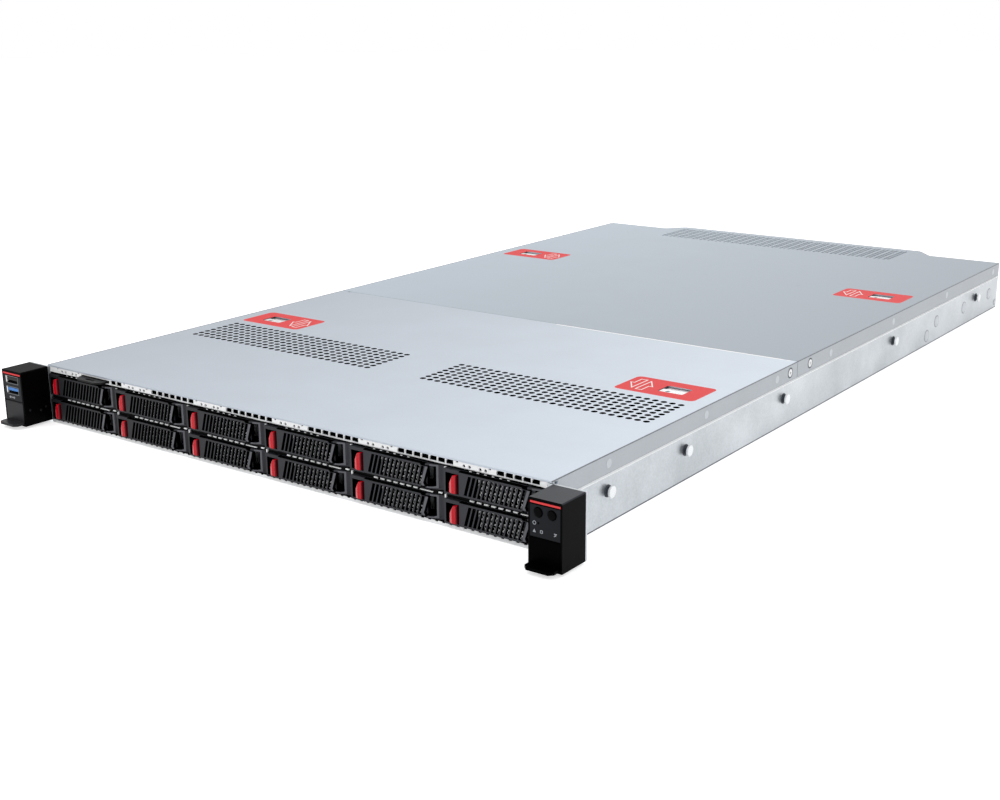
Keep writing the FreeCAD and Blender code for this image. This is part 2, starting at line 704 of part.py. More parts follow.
def cut_latch_opening(body, side, along):
    """Opening for a finger latch, with the bracket that carries the latch below it."""
    middle = LATCH_X * side
    half_x = latch_open_x / 2
    half_y = latch_open_y / 2
    cut(body, "XY", box_outline((middle - half_x, along - half_y), (middle + half_x, along + half_y)),
        overall_height - cover_sheet - 1, cover_sheet + 2)
    top = overall_height - cover_sheet
    slide_low = top - slip - latch_sheet
    floor = slide_low - slip - bracket_sheet
    reach = half_y + 8
    inner = half_x + 2.5 + slip
    section = [
        (middle - inner - bracket_sheet, top),
        (middle - inner - bracket_sheet, floor),
        (middle + inner + bracket_sheet, floor),
        (middle + inner + bracket_sheet, top),
        (middle + inner, top),
        (middle + inner, floor + bracket_sheet),
        (middle - inner, floor + bracket_sheet),
        (middle - inner, top),
    ]
    pad(body, "XZ", section, along - reach, reach * 2)


def make_front_cover():
    """Front cover over drives and fans."""
    body = new_body("front_cover")
    end = seam_at - slip
    pad(body, "XZ", cover_profile(), flange_start, end - flange_start)
    top = overall_height - cover_sheet
    pad(body, "XY", box_outline((-HALF, ZERO), (HALF, flange_start)), top, cover_sheet)
    for side in (1, -1):
        cut_latch_opening(body, side, front_latch_y)
    dress(body, "Fillet", bend_round, lambda edge: runs_along(edge, Y_AXIS)
          and near(edge, z=overall_height.value)
          and abs(abs(edge.CenterOfMass.x) - HALF.value) < 0.05)
    return node(body, "front_cover")


def make_rear_cover():
    """Rear cover over the boards, following the stepped rear edge."""
    body = new_body("rear_cover")
    start = seam_at + slip
    pad(body, "XZ", cover_profile(), start, side_depth - start)
    top = overall_height - cover_sheet
    wide = REAR_HALF + rear_blend
    outline = [
        (-wide, side_depth),
        (-wide, side_depth - 5),
        (wide, side_depth - 5),
        (wide, side_depth),
        (REAR_HALF, REAR_END),
        (-REAR_HALF, REAR_END),
    ]
    pad(body, "XY", outline, top, cover_sheet)
    for side in (1, -1):
        cut_latch_opening(body, side, REAR_LATCH_Y)
    dress(body, "Fillet", blend_round, lambda edge: runs_along(edge, Z_AXIS)
          and (near(edge, y=REAR_END.value) or (near(edge, y=side_depth.value)
               and abs(abs(edge.CenterOfMass.x) - wide.value) < 0.05)))
    dress(body, "Fillet", bend_round, lambda edge: runs_along(edge, Y_AXIS)
          and near(edge, z=overall_height.value)
          and abs(abs(edge.CenterOfMass.x) - HALF.value) < 0.05)
    return node(body, "rear_cover")


def make_cover_latch(label, side, along):
    """Finger slide of a cover latch: a plate in its bracket with a thumb nub."""
    body = new_body(label)
    top = overall_height - cover_sheet - slip
    low = top - latch_sheet
    middle = LATCH_X * side
    half_x = latch_open_x / 2 + 2.5
    half_y = latch_open_y / 2
    pad(body, "XY", box_outline((middle - half_x, along - half_y - latch_travel / 2 - 1),
                                (middle + half_x, along + half_y)),
        low, latch_sheet)
    nub = latch_open_x / 2 - 1.2
    back = along - half_y + latch_open_y / 2
    pad(body, "XY", box_outline((middle - nub, along - half_y + slip), (middle + nub, back)),
        top, cover_sheet)
    return node(body, label)


# --------------------------------------------------------------------------- ears

def make_ear(label, side):
    """Ear housing with the open lower cavity for the flap and the rack screw."""
    body = new_body(label)
    pad(body, "XZ", box_outline((EAR_IN * side, ear_bottom), (EAR_OUT * side, ear_top)),
        -ear_reach, ear_reach)
    seat_top = flap_top + flap_thick / 2 + slip
    inner = (EAR_IN + ear_wall) * side
    outer = (EAR_OUT - ear_wall) * side
    cut(body, "XZ", box_outline((inner, flap_bottom - slip), (outer, seat_top)),
        -ear_reach - 1, flap_thick + slip + 1)
    cavity_in = (EAR_IN + ear_wall * 2) * side
    cavity_out = (EAR_OUT - ear_wall * 2) * side
    cut(body, "XZ", box_outline((cavity_in, flap_bottom + 1), (cavity_out, seat_top - 1)),
        -ear_reach, ear_reach - ear_back)
    cut_round(body, "XZ", (SCREW_X * side, rack_screw_z), SCREW_HOLE, -ear_back - 1, ear_back + 2)
    pivot = (flap_thick / 2 - ear_reach, flap_top)
    low_x = EAR_IN + ear_wall - stub_length if side > 0 else -EAR_OUT + ear_wall - stub_length
    cut_round(body, "YZ", pivot, stub_radius + running, low_x,
              ear_width - ear_wall * 2 + stub_length * 2)
    if side > 0:
        for offset in (-1, 1):
            centre = (panel_middle(side) + key_spacing / 2 * offset, key_z)
            cut(body, "XZ", ring(centre, key_radius + slip, 24), -ear_reach - 1, key_depth + 1)
    else:
        for level in (usb_high, usb_low):
            half = usb_width / 2 + slip
            tall = usb_height / 2 + slip
            middle = panel_middle(side)
            cut(body, "XZ", box_outline((middle - half, level - tall), (middle + half, level + tall)),
                -ear_reach - 1, usb_depth + 1)
    cut(body, "XZ", box_outline(((EAR_IN + ear_wall) * side, ear_top - 3.6),
                                ((EAR_OUT - ear_wall) * side, ear_top - 1.4)),
        -ear_reach - 1, 1.3)
    dress(body, "Chamfer", ear_round, lambda edge: runs_along(edge, Y_AXIS)
          and near(edge, z=ear_top.value))
    return node(body, label)




def panel_middle(side):
    """Middle of an ear across its width."""
    return (EAR_IN + ear_width / 2) * side


def make_flap(label, side):
    """Flap over the rack screw: plate, projecting lip, rounded top and pivot stubs."""
    body = new_body(label)
    front = -ear_reach
    back = flap_thick - ear_reach
    section = [
        (front, flap_top),
        (back, flap_top),
        (back, flap_bottom),
        (front - lip_reach, flap_bottom),
        (front - lip_reach, flap_bottom + lip_thick),
        (front, flap_bottom + lip_thick),
    ]
    low_x = FLAP_IN if side > 0 else -FLAP_OUT
    width = FLAP_OUT - FLAP_IN
    pad(body, "YZ", section, low_x, width)
    pivot = (flap_thick / 2 - ear_reach, flap_top)
    pad(body, "YZ", ring(pivot, flap_thick / 2, 12), low_x, width)
    pad_round(body, "YZ", pivot, stub_radius, low_x - stub_length, width + stub_length * 2)
    dress(body, "Chamfer", lip_corner, lambda edge: runs_along(edge, Z_AXIS)
          and near(edge, y=(front - lip_reach).value))
    return node(body, label)


def make_rack_screws():
    """Two captive rack screws: knurled head behind the flap, shank through the flange."""
    body = new_body("rack_screw_master")
    head_back = -ear_back - slip
    pad_round(body, "XZ", (ZERO, ZERO), head_radius, head_back - head_length, head_length)
    pad_round(body, "XZ", (ZERO, ZERO), SHOULDER_RADIUS, head_back, -head_back + rack_plate + 0.5)
    pad_round(body, "XZ", (ZERO, ZERO), screw_radius, head_back, -head_back + screw_reach)
    DOC.recompute()
    right = copy_of(body, "rack_screw_right", SCREW_X, ZERO, rack_screw_z)
    left = copy_of(body, "rack_screw_left", -SCREW_X, ZERO, rack_screw_z)
    pair = DOC.addObject("Part::Compound", "rack_screws")
    pair.Links = [left, right]
    return node(pair, "rack_screws")




def make_key(label, offset):
    """Round push button in the right ear."""
    body = new_body(label)
    centre = (panel_middle(1) + key_spacing / 2 * offset, key_z)
    pad(body, "XZ", ring(centre, key_radius, 24), -ear_reach - key_out,
        key_depth - key_travel - slip + key_out)
    dress(body, "Chamfer", key_round, lambda edge: near(edge, y=(-ear_reach - key_out).value))
    return node(body, label)




def make_usb_ports():
    """Two USB sockets in the left ear: open steel shells with a tongue."""
    body = new_body("usb_master")
    half = usb_width / 2
    tall = usb_height / 2
    pad(body, "XZ", box_outline((-half, -tall), (half, tall)), ZERO, usb_depth - slip)
    cut(body, "XZ", box_outline((usb_sheet - half, usb_sheet - tall), (half - usb_sheet, tall - usb_sheet)),
        -1, usb_depth - 1)
    tongue_half = half - usb_sheet * 2.5
    pad(body, "XZ", box_outline((-tongue_half, ZERO), (tongue_half, tall - usb_sheet * 2)),
        usb_sheet * 2, usb_depth - usb_sheet * 4)
    DOC.recompute()
    middle = panel_middle(-1)
    upper = copy_of(body, "usb_upper", middle, -ear_reach, usb_high)
    lower = copy_of(body, "usb_lower", middle, -ear_reach, usb_low)
    pair = DOC.addObject("Part::Compound", "usb_ports")
    pair.Links = [upper, lower]
    return node(pair, "usb_ports")


def make_tag():
    """Pull-out information tag: a thin plate with rounded corners and a finger slot."""
    body = new_body("information_tag")
    middle = BAYS_LEFT + tag_at
    half = tag_width / 2
    end = tag_length - tag_out
    pad(body, "XY", box_outline((middle - half, -tag_out), (middle + half, end)), tag_low, tag_thick)
    cut(body, "XY", box_outline((middle - 4.5, -tag_out + 2.4), (middle + 4.5, -tag_out + 5.0)),
        tag_low - 1, tag_thick + 2)
    dress(body, "Fillet", tag_round, lambda edge: runs_along(edge, Z_AXIS)
          and near(edge, y=-tag_out.value) and abs(edge.CenterOfMass.x - middle.value) > half.value - 1)
    dress(body, "Chamfer", Size(0.9, "0.9"), lambda edge: runs_along(edge, Z_AXIS)
          and abs(abs(edge.CenterOfMass.x - middle.value) - 4.5) < 0.05)
    return node(body, "information_tag")


# --------------------------------------------------------------------------- carriers

def make_carrier_master():
    """Carrier: bezel block with its pockets, two side rails and the lever's hinge pin."""
    body = new_body("carrier_master")
    front = -bezel_out
    pad(body, "XZ", box_outline((ZERO, ZERO), (CARRIER_WIDTH, carrier_height)), front, bezel_depth)
    recess = lever_thick - lever_front + slip
    cut(body, "XZ", box_outline((lever_left - slip, ZERO - 1), (HINGE_X + 1.4, carrier_height + 1)),
        front - 1, bezel_out + recess + 1)
    cut(body, "XZ", box_outline((lever_left + 1, pocket_rim + 0.5), (HINGE_X + 2.3, carrier_height - 1.6)),
        front - 1, bezel_depth + 2)
    pocket_top = carrier_height - pocket_rim
    pocket = [
        (HINGE_X, pocket_rim - 0.2),
        (FRAME_RIGHT, pocket_rim + 1.2),
        (FRAME_RIGHT, pocket_top),
        (HINGE_X, pocket_top),
    ]
    cut(body, "XZ", pocket, front - 1, pocket_floor + bezel_out + 1)
    cut(body, "XZ", box_outline((pocket_left, pocket_rim), (pocket_right, carrier_height - pocket_rim * 2)),
        front - 1, pocket_floor + bezel_out + 1)
    slope = [
        (HINGE_X + 1, front - 1),
        (CARRIER_WIDTH + 1, front - 1),
        (CARRIER_WIDTH + 1, front + face_slope),
        (CARRIER_WIDTH, front + face_slope),
        (HINGE_X + 1, front),
    ]
    cut(body, "XY", slope, -1, carrier_height + 2)
    back = bezel_depth - bezel_out
    for side in (0, 1):
        left = (CARRIER_WIDTH - rail_sheet) * side
        pad(body, "XZ", box_outline((left, ZERO + 0.3), (left + rail_sheet, carrier_height - 0.3)),
            back - 1, rail_length + 1)
    pad_round(body, "XY", (HINGE_X, hinge_in), pin_radius, 0.5, carrier_height - 1)
    DOC.recompute()
    return body


def make_drive_master():
    """Drive: a plain closed block held between the rails."""
    back = bezel_depth - bezel_out
    left = (CARRIER_WIDTH - DRIVE_WIDTH) / 2
    low = (carrier_height - drive_height) / 2
    return solid_box("drive_master", (DRIVE_WIDTH, drive_depth, drive_height), (left, back + 1, low))


def make_lever_master():
    """Lever: plate with leaning slots, a kinked right end, a knuckle and a catch."""
    body = new_body("lever_master")
    front = -lever_front
    low = Size(0.5, "0.5")
    high = carrier_height - 0.5
    shoulder = HINGE_X - 2.2
    plate = [
        (lever_left, low),
        (shoulder, low),
        (shoulder + 1, low + 1),
        (LEVER_KINK + 0.9, low + 1),
        (LEVER_KINK, low + 2.8),
        (LEVER_TIP, high - 1),
        (shoulder + 1, high - 1),
        (shoulder, high),
        (lever_left, high),
    ]
    pad(body, "XZ", plate, front, lever_thick)
    slot = [
        (slot_first, slot_low),
        (slot_first + slot_width, slot_low),
        (slot_first + slot_width + slot_lean, slot_high),
        (slot_first + slot_lean, slot_high),
    ]
    opening = cut(body, "XZ", slot, front - 1, lever_thick + 2)
    repeat(body, opening, "H_Axis", slot_pitch * (SLOT_COUNT - 1), SLOT_COUNT)
    knuckle_low = pocket_rim + 0.8
    knuckle_high = carrier_height - 1.9
    knuckle = [
        (HINGE_X - hinge_radius, lever_thick - lever_front - 0.2),
        (HINGE_X + hinge_radius, lever_thick - lever_front - 0.2),
        (HINGE_X + hinge_radius, hinge_in + 0.7),
        (HINGE_X + 0.7, hinge_in + hinge_radius),
        (HINGE_X - 0.7, hinge_in + hinge_radius),
        (HINGE_X - hinge_radius, hinge_in + 0.7),
    ]
    pad(body, "XY", knuckle, knuckle_low, knuckle_high - knuckle_low)
    cut_round(body, "XY", (HINGE_X, hinge_in), pin_radius + running, 0, carrier_height)
    catch = box_outline((lever_left + 1.3, ZERO + 5), (lever_left + 2.5, ZERO + 10))
    pad(body, "XZ", catch, lever_thick - lever_front - 0.2, 2.8)
    DOC.recompute()
    return body


def make_button_master():
    """Release button: block with a wide slant at its left and a cut-off upper left corner."""
    body = new_body("release_button_master")
    low = pocket_rim + 0.4
    high = carrier_height - pocket_rim * 2 - 0.6
    right = pocket_right - button_spare
    front = -bezel_out - button_proud
    back = pocket_floor - slip
    plan = [
        (button_left, back),
        (button_left, front + button_drop),
        (button_left + button_slant, front),
        (right - button_round, front),
        (right, front + button_round),
        (right, back),
    ]
    pad(body, "XY", plan, low, high - low)
    corner = [
        (button_left - 1, high - 2.8),
        (button_left, high - 2.8),
        (button_left + 2.2, high),
        (button_left + 2.2, high + 1),
        (button_left - 1, high + 1),
    ]
    cut(body, "XZ", corner, front - 1, back - front + 2)
    DOC.recompute()
    return body


def make_carriers():
    """Twelve carriers with their levers and release buttons, two rows of six."""
    carrier = make_carrier_master()
    drive = make_drive_master()
    lever = make_lever_master()
    button = make_button_master()
    DOC.recompute()
    for row, row_name in enumerate(("lower", "upper")):
        for column in range(6):
            x = BAYS_LEFT + COLUMN_PITCH * column + CARRIER_LEFT
            z = bay_bottom + row_pitch * row
            tail = f"{row_name}_{column + 1}"
            tray = copy_of(carrier, f"tray_{tail}", x, ZERO, z)
            disk = copy_of(drive, f"drive_{tail}", x + (CARRIER_WIDTH - DRIVE_WIDTH) / 2,
                           bezel_depth - bezel_out + 1, z + (carrier_height - drive_height) / 2)
            pair = DOC.addObject("Part::Compound", f"carrier_{tail}")
            pair.Links = [tray, disk]
            node(pair, f"carrier_{tail}")
            node(copy_of(lever, f"lever_{tail}", x, ZERO, z), f"lever_{tail}")
            node(copy_of(button, f"release_button_{tail}", x, ZERO, z), f"release_button_{tail}")


# --------------------------------------------------------------------------- inside

def make_system_board():
    """System board on its standoffs, with sockets and the rear connectors."""
    body = new_body("system_board")
    wide = BOARD_WIDE / 2
    narrow = BOARD_NARROW / 2 - base_sheet
    rear = REAR_END - base_sheet - slip
    top = board_z + board_thick
    outline = [
        (-wide, BOARD_FRONT),
        (wide, BOARD_FRONT),
        (wide, BOARD_SHOULDER),
        (narrow, BOARD_SHOULDER),
        (narrow, rear),
        (-narrow, rear),
        (-narrow, BOARD_SHOULDER),
        (-wide, BOARD_SHOULDER),
    ]
    pad(body, "XY", outline, board_z, board_thick)
    inset = 12
    standoff = pad(body, "XY", ring((-narrow + inset, BOARD_FRONT + inset), Size(3.2, "3.2"), 6),
                   base_sheet, board_z - base_sheet)
    DOC.recompute()
    repeat(body, standoff, "H_Axis", BOARD_NARROW - base_sheet * 2 - inset * 2, 3,
           rear - BOARD_FRONT - inset * 2, 3)
    for side in (1, -1):
        left = SINK_X * side - sink_width / 2
        pad(body, "XY", box_outline((left + 4, MEMORY_Y + 22), (left + sink_width - 4, MEMORY_Y + 102)),
            top, processor_height)
    for left in memory_banks():
        socket = pad(body, "XY", box_outline((left - 2.4, MEMORY_Y - 4),
                                             (left + 2.4, MEMORY_Y + memory_length + 4)),
                     top, socket_height)
        DOC.recompute()
        repeat(body, socket, "H_Axis", memory_pitch * 5, 6)
    connector = pad(body, "XY", box_outline((PORT_FIRST + 0.5, rear - 18),
                                            (PORT_FIRST + port_width - 0.5, rear)), top, port_height - 1)
    DOC.recompute()
    repeat(body, connector, "H_Axis", port_pitch * 4, 5)
    return node(body, "system_board")


def memory_banks():
    """Left module of each of the four memory banks, beside the two processors."""
    bank = memory_pitch * 5
    beside = sink_width / 2 + 6
    return [
        -SINK_X - beside - bank,
        -SINK_X + beside,
        SINK_X - beside - bank,
        SINK_X + beside,
    ]


def make_memory():
    """Twenty-four memory modules standing in their sockets."""
    modules = []
    base = board_z + board_thick + socket_height
    for bank, left in enumerate(memory_banks()):
        for index in range(6):
            x = left + memory_pitch * index - memory_thick / 2
            modules.append(solid_box(f"memory_{bank}_{index}", (memory_thick, memory_length, memory_height),
                                     (x, MEMORY_Y, base)))
    group = DOC.addObject("Part::Compound", "memory_modules")
    group.Links = modules
    return node(group, "memory_modules")


def make_heat_sinks():
    """Two finned heat sinks on the processors."""
    body = new_body("heat_sink_master")
    base = board_z + board_thick + processor_height
    pad(body, "XY", box_outline((ZERO, ZERO), (sink_width, sink_depth)), base, sink_base)
    fin = pad(body, "XY", box_outline((ZERO, ZERO), (fin_thick, sink_depth)), base + sink_base,
              sink_top - base - sink_base)
    DOC.recompute()
    repeat(body, fin, "H_Axis", sink_width - fin_thick, 18)
    DOC.recompute()
    pair = DOC.addObject("Part::Compound", "heat_sinks")
    pair.Links = [
        copy_of(body, "heat_sink_left", -SINK_X - sink_width / 2, MEMORY_Y + 8, ZERO),
        copy_of(body, "heat_sink_right", SINK_X - sink_width / 2, MEMORY_Y + 8, ZERO),
    ]
    return node(pair, "heat_sinks")


def make_fans():
    """Eight fan modules: square housing with a duct, a strut with the motor, and a rotor."""
    body = new_body("fan_master")
    half = fan_size / 2
    low = base_sheet
    centre = (ZERO, low + half)
    pad(body, "XZ", box_outline((-half, low), (half, low + fan_size)), ZERO, fan_depth)
    cut(body, "XZ", ring(centre, fan_bore, 16), -1, fan_depth + 2)
    strut = box_outline((-fan_bore - 1, low + half - 1.5), (fan_bore + 1, low + half + 1.5))
    pad(body, "XZ", strut, fan_depth - 4, Size(3, "3"))
    pad(body, "XZ", ring(centre, hub_radius, 12), fan_depth - 16, Size(15, "15"))
    rotor = new_body("rotor_master")
    blades = []
    for index in range(5):
        turn = 2 * math.pi * index / 5
        for reach, lead in ((hub_radius, -0.4), (fan_bore - 1.2, 0.1), (fan_bore - 1.2, 0.5), (hub_radius, 0.2)):
            angle = turn + lead
            blades.append((reach * math.cos(angle), centre[1] + reach * math.sin(angle)))
    pad(rotor, "XZ", blades, Size(8, "8"), fan_depth - 26)
    DOC.recompute()
    parts = []
    for index in range(8):
        x = FAN_PITCH * (index - 3.5)
        parts.append(copy_of(body, f"fan_housing_{index + 1}", x, FAN_Y, ZERO))
        parts.append(copy_of(rotor, f"fan_rotor_{index + 1}", x, FAN_Y, ZERO))
    group = DOC.addObject("Part::Compound", "fan_modules")
    group.Links = parts
    return node(group, "fan_modules")


def make_supply(label, side):
    """Power supply: closed steel box with an inlet, an air grille and a pull handle."""
    body = new_body(label)
    low_x = SUPPLY_IN if side > 0 else -SUPPLY_EDGE
    start = side_depth - supply_length
    top = SUPPLY_LOW + supply_height
    pad(body, "XZ", box_outline((low_x, SUPPLY_LOW), (low_x + supply_width, top)), start, supply_length)
    cut(body, "XZ", box_outline((low_x + 4, SUPPLY_LOW + 4), (low_x + 32, SUPPLY_LOW + 25)),
        side_depth - 15, 20)
    slit = cut(body, "XZ", box_outline((low_x + 37, SUPPLY_LOW + 5), (low_x + 39.5, top - 5)),
               side_depth - 4, 10)
    repeat(body, slit, "H_Axis", Size(20, "20"), 5)
    grip = [
        (side_depth, top - 9),
        (side_depth + handle_reach, top - 9),
        (side_depth + handle_reach, SUPPLY_LOW + 8),
        (side_depth + handle_reach - handle_thick, SUPPLY_LOW + 8),
        (side_depth + handle_reach - handle_thick, top - 9 - handle_thick),
        (side_depth, top - 9 - handle_thick),
    ]
    pad(body, "YZ", grip, low_x + 33, Size(3.5, "3.5"))
    return node(body, label)


# --------------------------------------------------------------------------- build

def build():
    """Make every sub-part."""
    make_base()
    make_cage()
    make_backplane()
    make_front_cover()
    make_rear_cover()
    for label, side, along in (
            ("front_latch_left", -1, front_latch_y), ("front_latch_right", 1, front_latch_y),
            ("rear_latch_left", -1, REAR_LATCH_Y), ("rear_latch_right", 1, REAR_LATCH_Y)):
        make_cover_latch(label, side, along)
    for name, side in (("left", -1), ("right", 1)):
        make_ear(f"{name}_ear", side)
        make_flap(f"{name}_ear_flap", side)
        make_supply(f"power_supply_{name}", side)
    make_rack_screws()
    make_key("power_button", -1)
    make_key("locate_button", 1)
    make_usb_ports()
    make_tag()
    make_carriers()
    make_system_board()
    make_memory()
    make_heat_sinks()
    make_fans()


def check_and_write():
    """Stop on any failed object, then write one STEP file for each sub-part."""
    DOC.recompute()
    for item in DOC.Objects:
        if "Invalid" in item.State or "Error" in item.State:
            raise ValueError(f"{item.Label} failed: {item.State}")
    os.makedirs("parts", exist_ok=True)
    for item in NODES:
        shape = item.Shape
        if shape.isNull() or not shape.isValid():
            raise ValueError(f"{item.Label} has no valid shape")
        shape.exportStep(f"parts/{item.Label}.step")
    print(len(NODES), "sub-parts written")


build()
check_and_write()
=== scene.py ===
import json
import math

import bmesh
import bpy
from mathutils import Euler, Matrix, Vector

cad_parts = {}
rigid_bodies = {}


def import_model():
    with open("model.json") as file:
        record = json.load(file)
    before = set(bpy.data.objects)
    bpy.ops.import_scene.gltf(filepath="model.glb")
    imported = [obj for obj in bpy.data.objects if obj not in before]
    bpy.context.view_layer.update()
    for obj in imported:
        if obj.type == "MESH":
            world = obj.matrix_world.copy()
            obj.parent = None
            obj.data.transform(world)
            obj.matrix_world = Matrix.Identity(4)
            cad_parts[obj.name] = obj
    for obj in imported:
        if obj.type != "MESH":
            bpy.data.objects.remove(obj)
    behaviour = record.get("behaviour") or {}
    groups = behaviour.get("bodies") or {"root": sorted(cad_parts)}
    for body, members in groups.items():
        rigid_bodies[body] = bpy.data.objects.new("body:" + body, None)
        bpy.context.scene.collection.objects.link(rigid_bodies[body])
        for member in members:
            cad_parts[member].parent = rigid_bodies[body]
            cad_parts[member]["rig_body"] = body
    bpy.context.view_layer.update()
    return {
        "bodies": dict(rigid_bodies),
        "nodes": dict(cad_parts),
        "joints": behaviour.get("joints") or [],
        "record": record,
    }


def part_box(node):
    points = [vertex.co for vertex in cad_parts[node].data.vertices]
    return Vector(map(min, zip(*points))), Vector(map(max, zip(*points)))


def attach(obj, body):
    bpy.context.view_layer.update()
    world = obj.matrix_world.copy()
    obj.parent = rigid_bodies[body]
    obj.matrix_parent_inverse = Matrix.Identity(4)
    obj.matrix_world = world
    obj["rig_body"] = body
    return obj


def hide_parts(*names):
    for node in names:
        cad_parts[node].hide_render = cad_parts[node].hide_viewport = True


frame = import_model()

bl_info = {
    "name": "Rack Server Dresser",
    "version": (1, 0, 0),
    "blender": (4, 5, 0),
    "location": "3D View > Sidebar > Server",
    "description": "Gives the rack server its sheet steel, moulded plastic, labels, fasteners and stage",
    "category": "Object",
}

MM = 0.001
NODES = frame["nodes"]
ROWS = ("lower", "upper")
COLUMNS = range(1, 7)
SIDES = (("left", -1), ("right", 1))


def low_high(node):
    """Lowest and highest corner of a CAD node, in millimetres."""
    return [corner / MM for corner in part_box(node)]


TOP = low_high("front_cover")[1].z
FLANK = low_high("front_cover")[1].x
DEPTH = 770       # of the body, without its rear extension
PROUD = 0.04      # how far a painted fold stands out of its sheet
WELD = 0.002      # corners closer than this are joined
FLAT_ANGLE = 0.5  # faces that turn less than this, in degrees, are one
BAY_PITCH = low_high("carrier_lower_2")[0].x - low_high("carrier_lower_1")[0].x
BAY_EDGE = low_high("carrier_lower_4")[0].x - 3 * BAY_PITCH


# ------------------------------------------------------------------ colours and materials

def linear(text):
    """A colour written as an sRGB hex value, as linear light."""
    values = [int(text[i:i + 2], 16) / 255 for i in (0, 2, 4)]
    return [v / 12.92 if v <= 0.04045 else ((v + 0.055) / 1.055) ** 2.4 for v in values] + [1.0]


def shades(colour, step):
    """A darker and a lighter tone of a chosen colour."""
    return [[min(1.0, v * factor) for v in colour[:3]] + [1.0] for factor in (1 - step, 1 + step)]


def tones(*texts):
    """Several hex values as linear light."""
    return [linear(text) for text in texts]


def add_node(tree, kind, links=None, values=None, **settings):
    """Add one node: what feeds its inputs, its unlinked input values and its settings."""
    node = tree.nodes.new(kind)
    for key, value in settings.items():
        setattr(node, key, value)
    for key, value in (values or {}).items():
        node.inputs[key].default_value = value
    for key, source in (links or {}).items():
        tree.links.new(source, node.inputs[key])
    return node


def open_material(name, *patterns):
    """An empty material: its tree, the object's own coordinates and one noise for each pattern, which
    is (size in millimetres, detail)."""
    material = bpy.data.materials.new(name)
    material.use_nodes = True
    tree = material.node_tree
    tree.nodes.clear()
    place = add_node(tree, "ShaderNodeTexCoord").outputs["Object"]
    noises = [add_node(tree, "ShaderNodeTexNoise", {"Vector": place},
                       {"Scale": 1 / (size * MM), "Detail": detail}).outputs[0] for size, detail in patterns]
    return (material, tree, place, *noises)


def close_material(tree, colour, gloss, relief, rough, height, values):
    """Join a colour, a pattern that breaks up the gloss and one that raises the surface to one shader.
    The roughness is (middle, spread) and the height of the relief (millimetres, strength)."""
    roughness = add_node(tree, "ShaderNodeMapRange", {"Value": gloss},
                         {"To Min": rough[0] - rough[1], "To Max": rough[0] + rough[1]})
    normal = add_node(tree, "ShaderNodeBump", {"Height": relief},
                      {"Distance": height[0] * MM, "Strength": height[1]})
    shader = add_node(tree, "ShaderNodeBsdfPrincipled",
                      {"Base Color": colour, "Roughness": roughness.outputs[0], "Normal": normal.outputs[0]},
                      values)
    add_node(tree, "ShaderNodeOutputMaterial", {"Surface": shader.outputs[0]})


def painted_light_gradient(tree, place, colour, lean, axis=0):
    """A colour whose tone leans from the server's left to its right, or from its front to its rear: painted
    light and shade, lighter where more light falls.
    """
    across = add_node(tree, "ShaderNodeSeparateXYZ", {0: place})
    first, last = ((-FLANK, FLANK), (0, DEPTH))[axis]
    painted_light_ramp = add_node(tree, "ShaderNodeMapRange", {"Value": across.outputs[axis]},
                     {"From Min": first * MM, "From Max": last * MM, "To Min": lean[0], "To Max": lean[1]})
    tint = add_node(tree, "ShaderNodeVectorMath", {0: colour, 3: painted_light_ramp.outputs[0]}, operation="SCALE")
    return tint.outputs[0]


def zinc_sheet(name, pair, metallic, rough, lean=(1.0, 1.0), axis=0):
    """Hot-dip galvanised sheet steel, skin-passed: its zinc spangle shows as a faint fine mottle,
    its rolled grain scatters light, so it gives broad soft reflections and no mirror image."""
    material, tree, place, cloud, spangle = open_material(name, (42, 3.0), (1.3, 2.0))
    shade = add_node(tree, "ShaderNodeMath", {0: spangle, 2: cloud}, {1: 0.5}, operation="MULTIPLY_ADD")
    spread = add_node(tree, "ShaderNodeMapRange", {"Value": shade.outputs[0]},
                      {"From Min": 0.5, "From Max": 1.0})
    colour = add_node(tree, "ShaderNodeMix", {0: spread.outputs[0]}, {6: pair[0], 7: pair[1]},
                      data_type="RGBA")
    tint = painted_light_gradient(tree, place, colour.outputs[2], lean, axis)
    close_material(tree, tint, cloud, spangle, (rough, 0.05), (0.012, 0.3), {"Metallic": metallic})
    return material


def drawn_metal(name, pair, rough, grain, metallic=0.9):
    """Drawn, brushed or turned metal: fine lines along its length stretch the highlights.
    The lines are drawn about three times too coarse, so that they show."""
    material, tree, place = open_material(name)
    run = add_node(tree, "ShaderNodeMapping", {"Vector": place}, {"Scale": [1 / s for s in grain]})
    lines = add_node(tree, "ShaderNodeTexNoise", {"Vector": run.outputs[0]},
                     {"Scale": 1 / (0.5 * MM), "Detail": 2.0}).outputs[0]
    colour = add_node(tree, "ShaderNodeMix", {0: lines}, {6: pair[0], 7: pair[1]}, data_type="RGBA")
    close_material(tree, colour.outputs[2], lines, lines, (rough, 0.08), (0.01, 0.35), {"Metallic": metallic})
    return material


def moulded_plastic(name, pair, rough, grit=0.4, height=0.02, level=0.5, lean=(1.0, 1.0)):
    """Moulded ABS or polycarbonate with a spark-eroded grain: an even colour whose gloss
    breaks up in a fine grit. A level below 0.5 is a black that swallows most of its gloss."""
    material, tree, place, cloud, grain = open_material(name, (16, 2.0), (grit, 2.0))
    colour = add_node(tree, "ShaderNodeMix", {0: cloud}, {6: pair[0], 7: pair[1]}, data_type="RGBA")
    tint = painted_light_gradient(tree, place, colour.outputs[2], lean)
    close_material(tree, tint, grain, grain, (rough, 0.08), (height, 0.5),
                   {"IOR": 1.53, "Specular IOR Level": level})
    return material


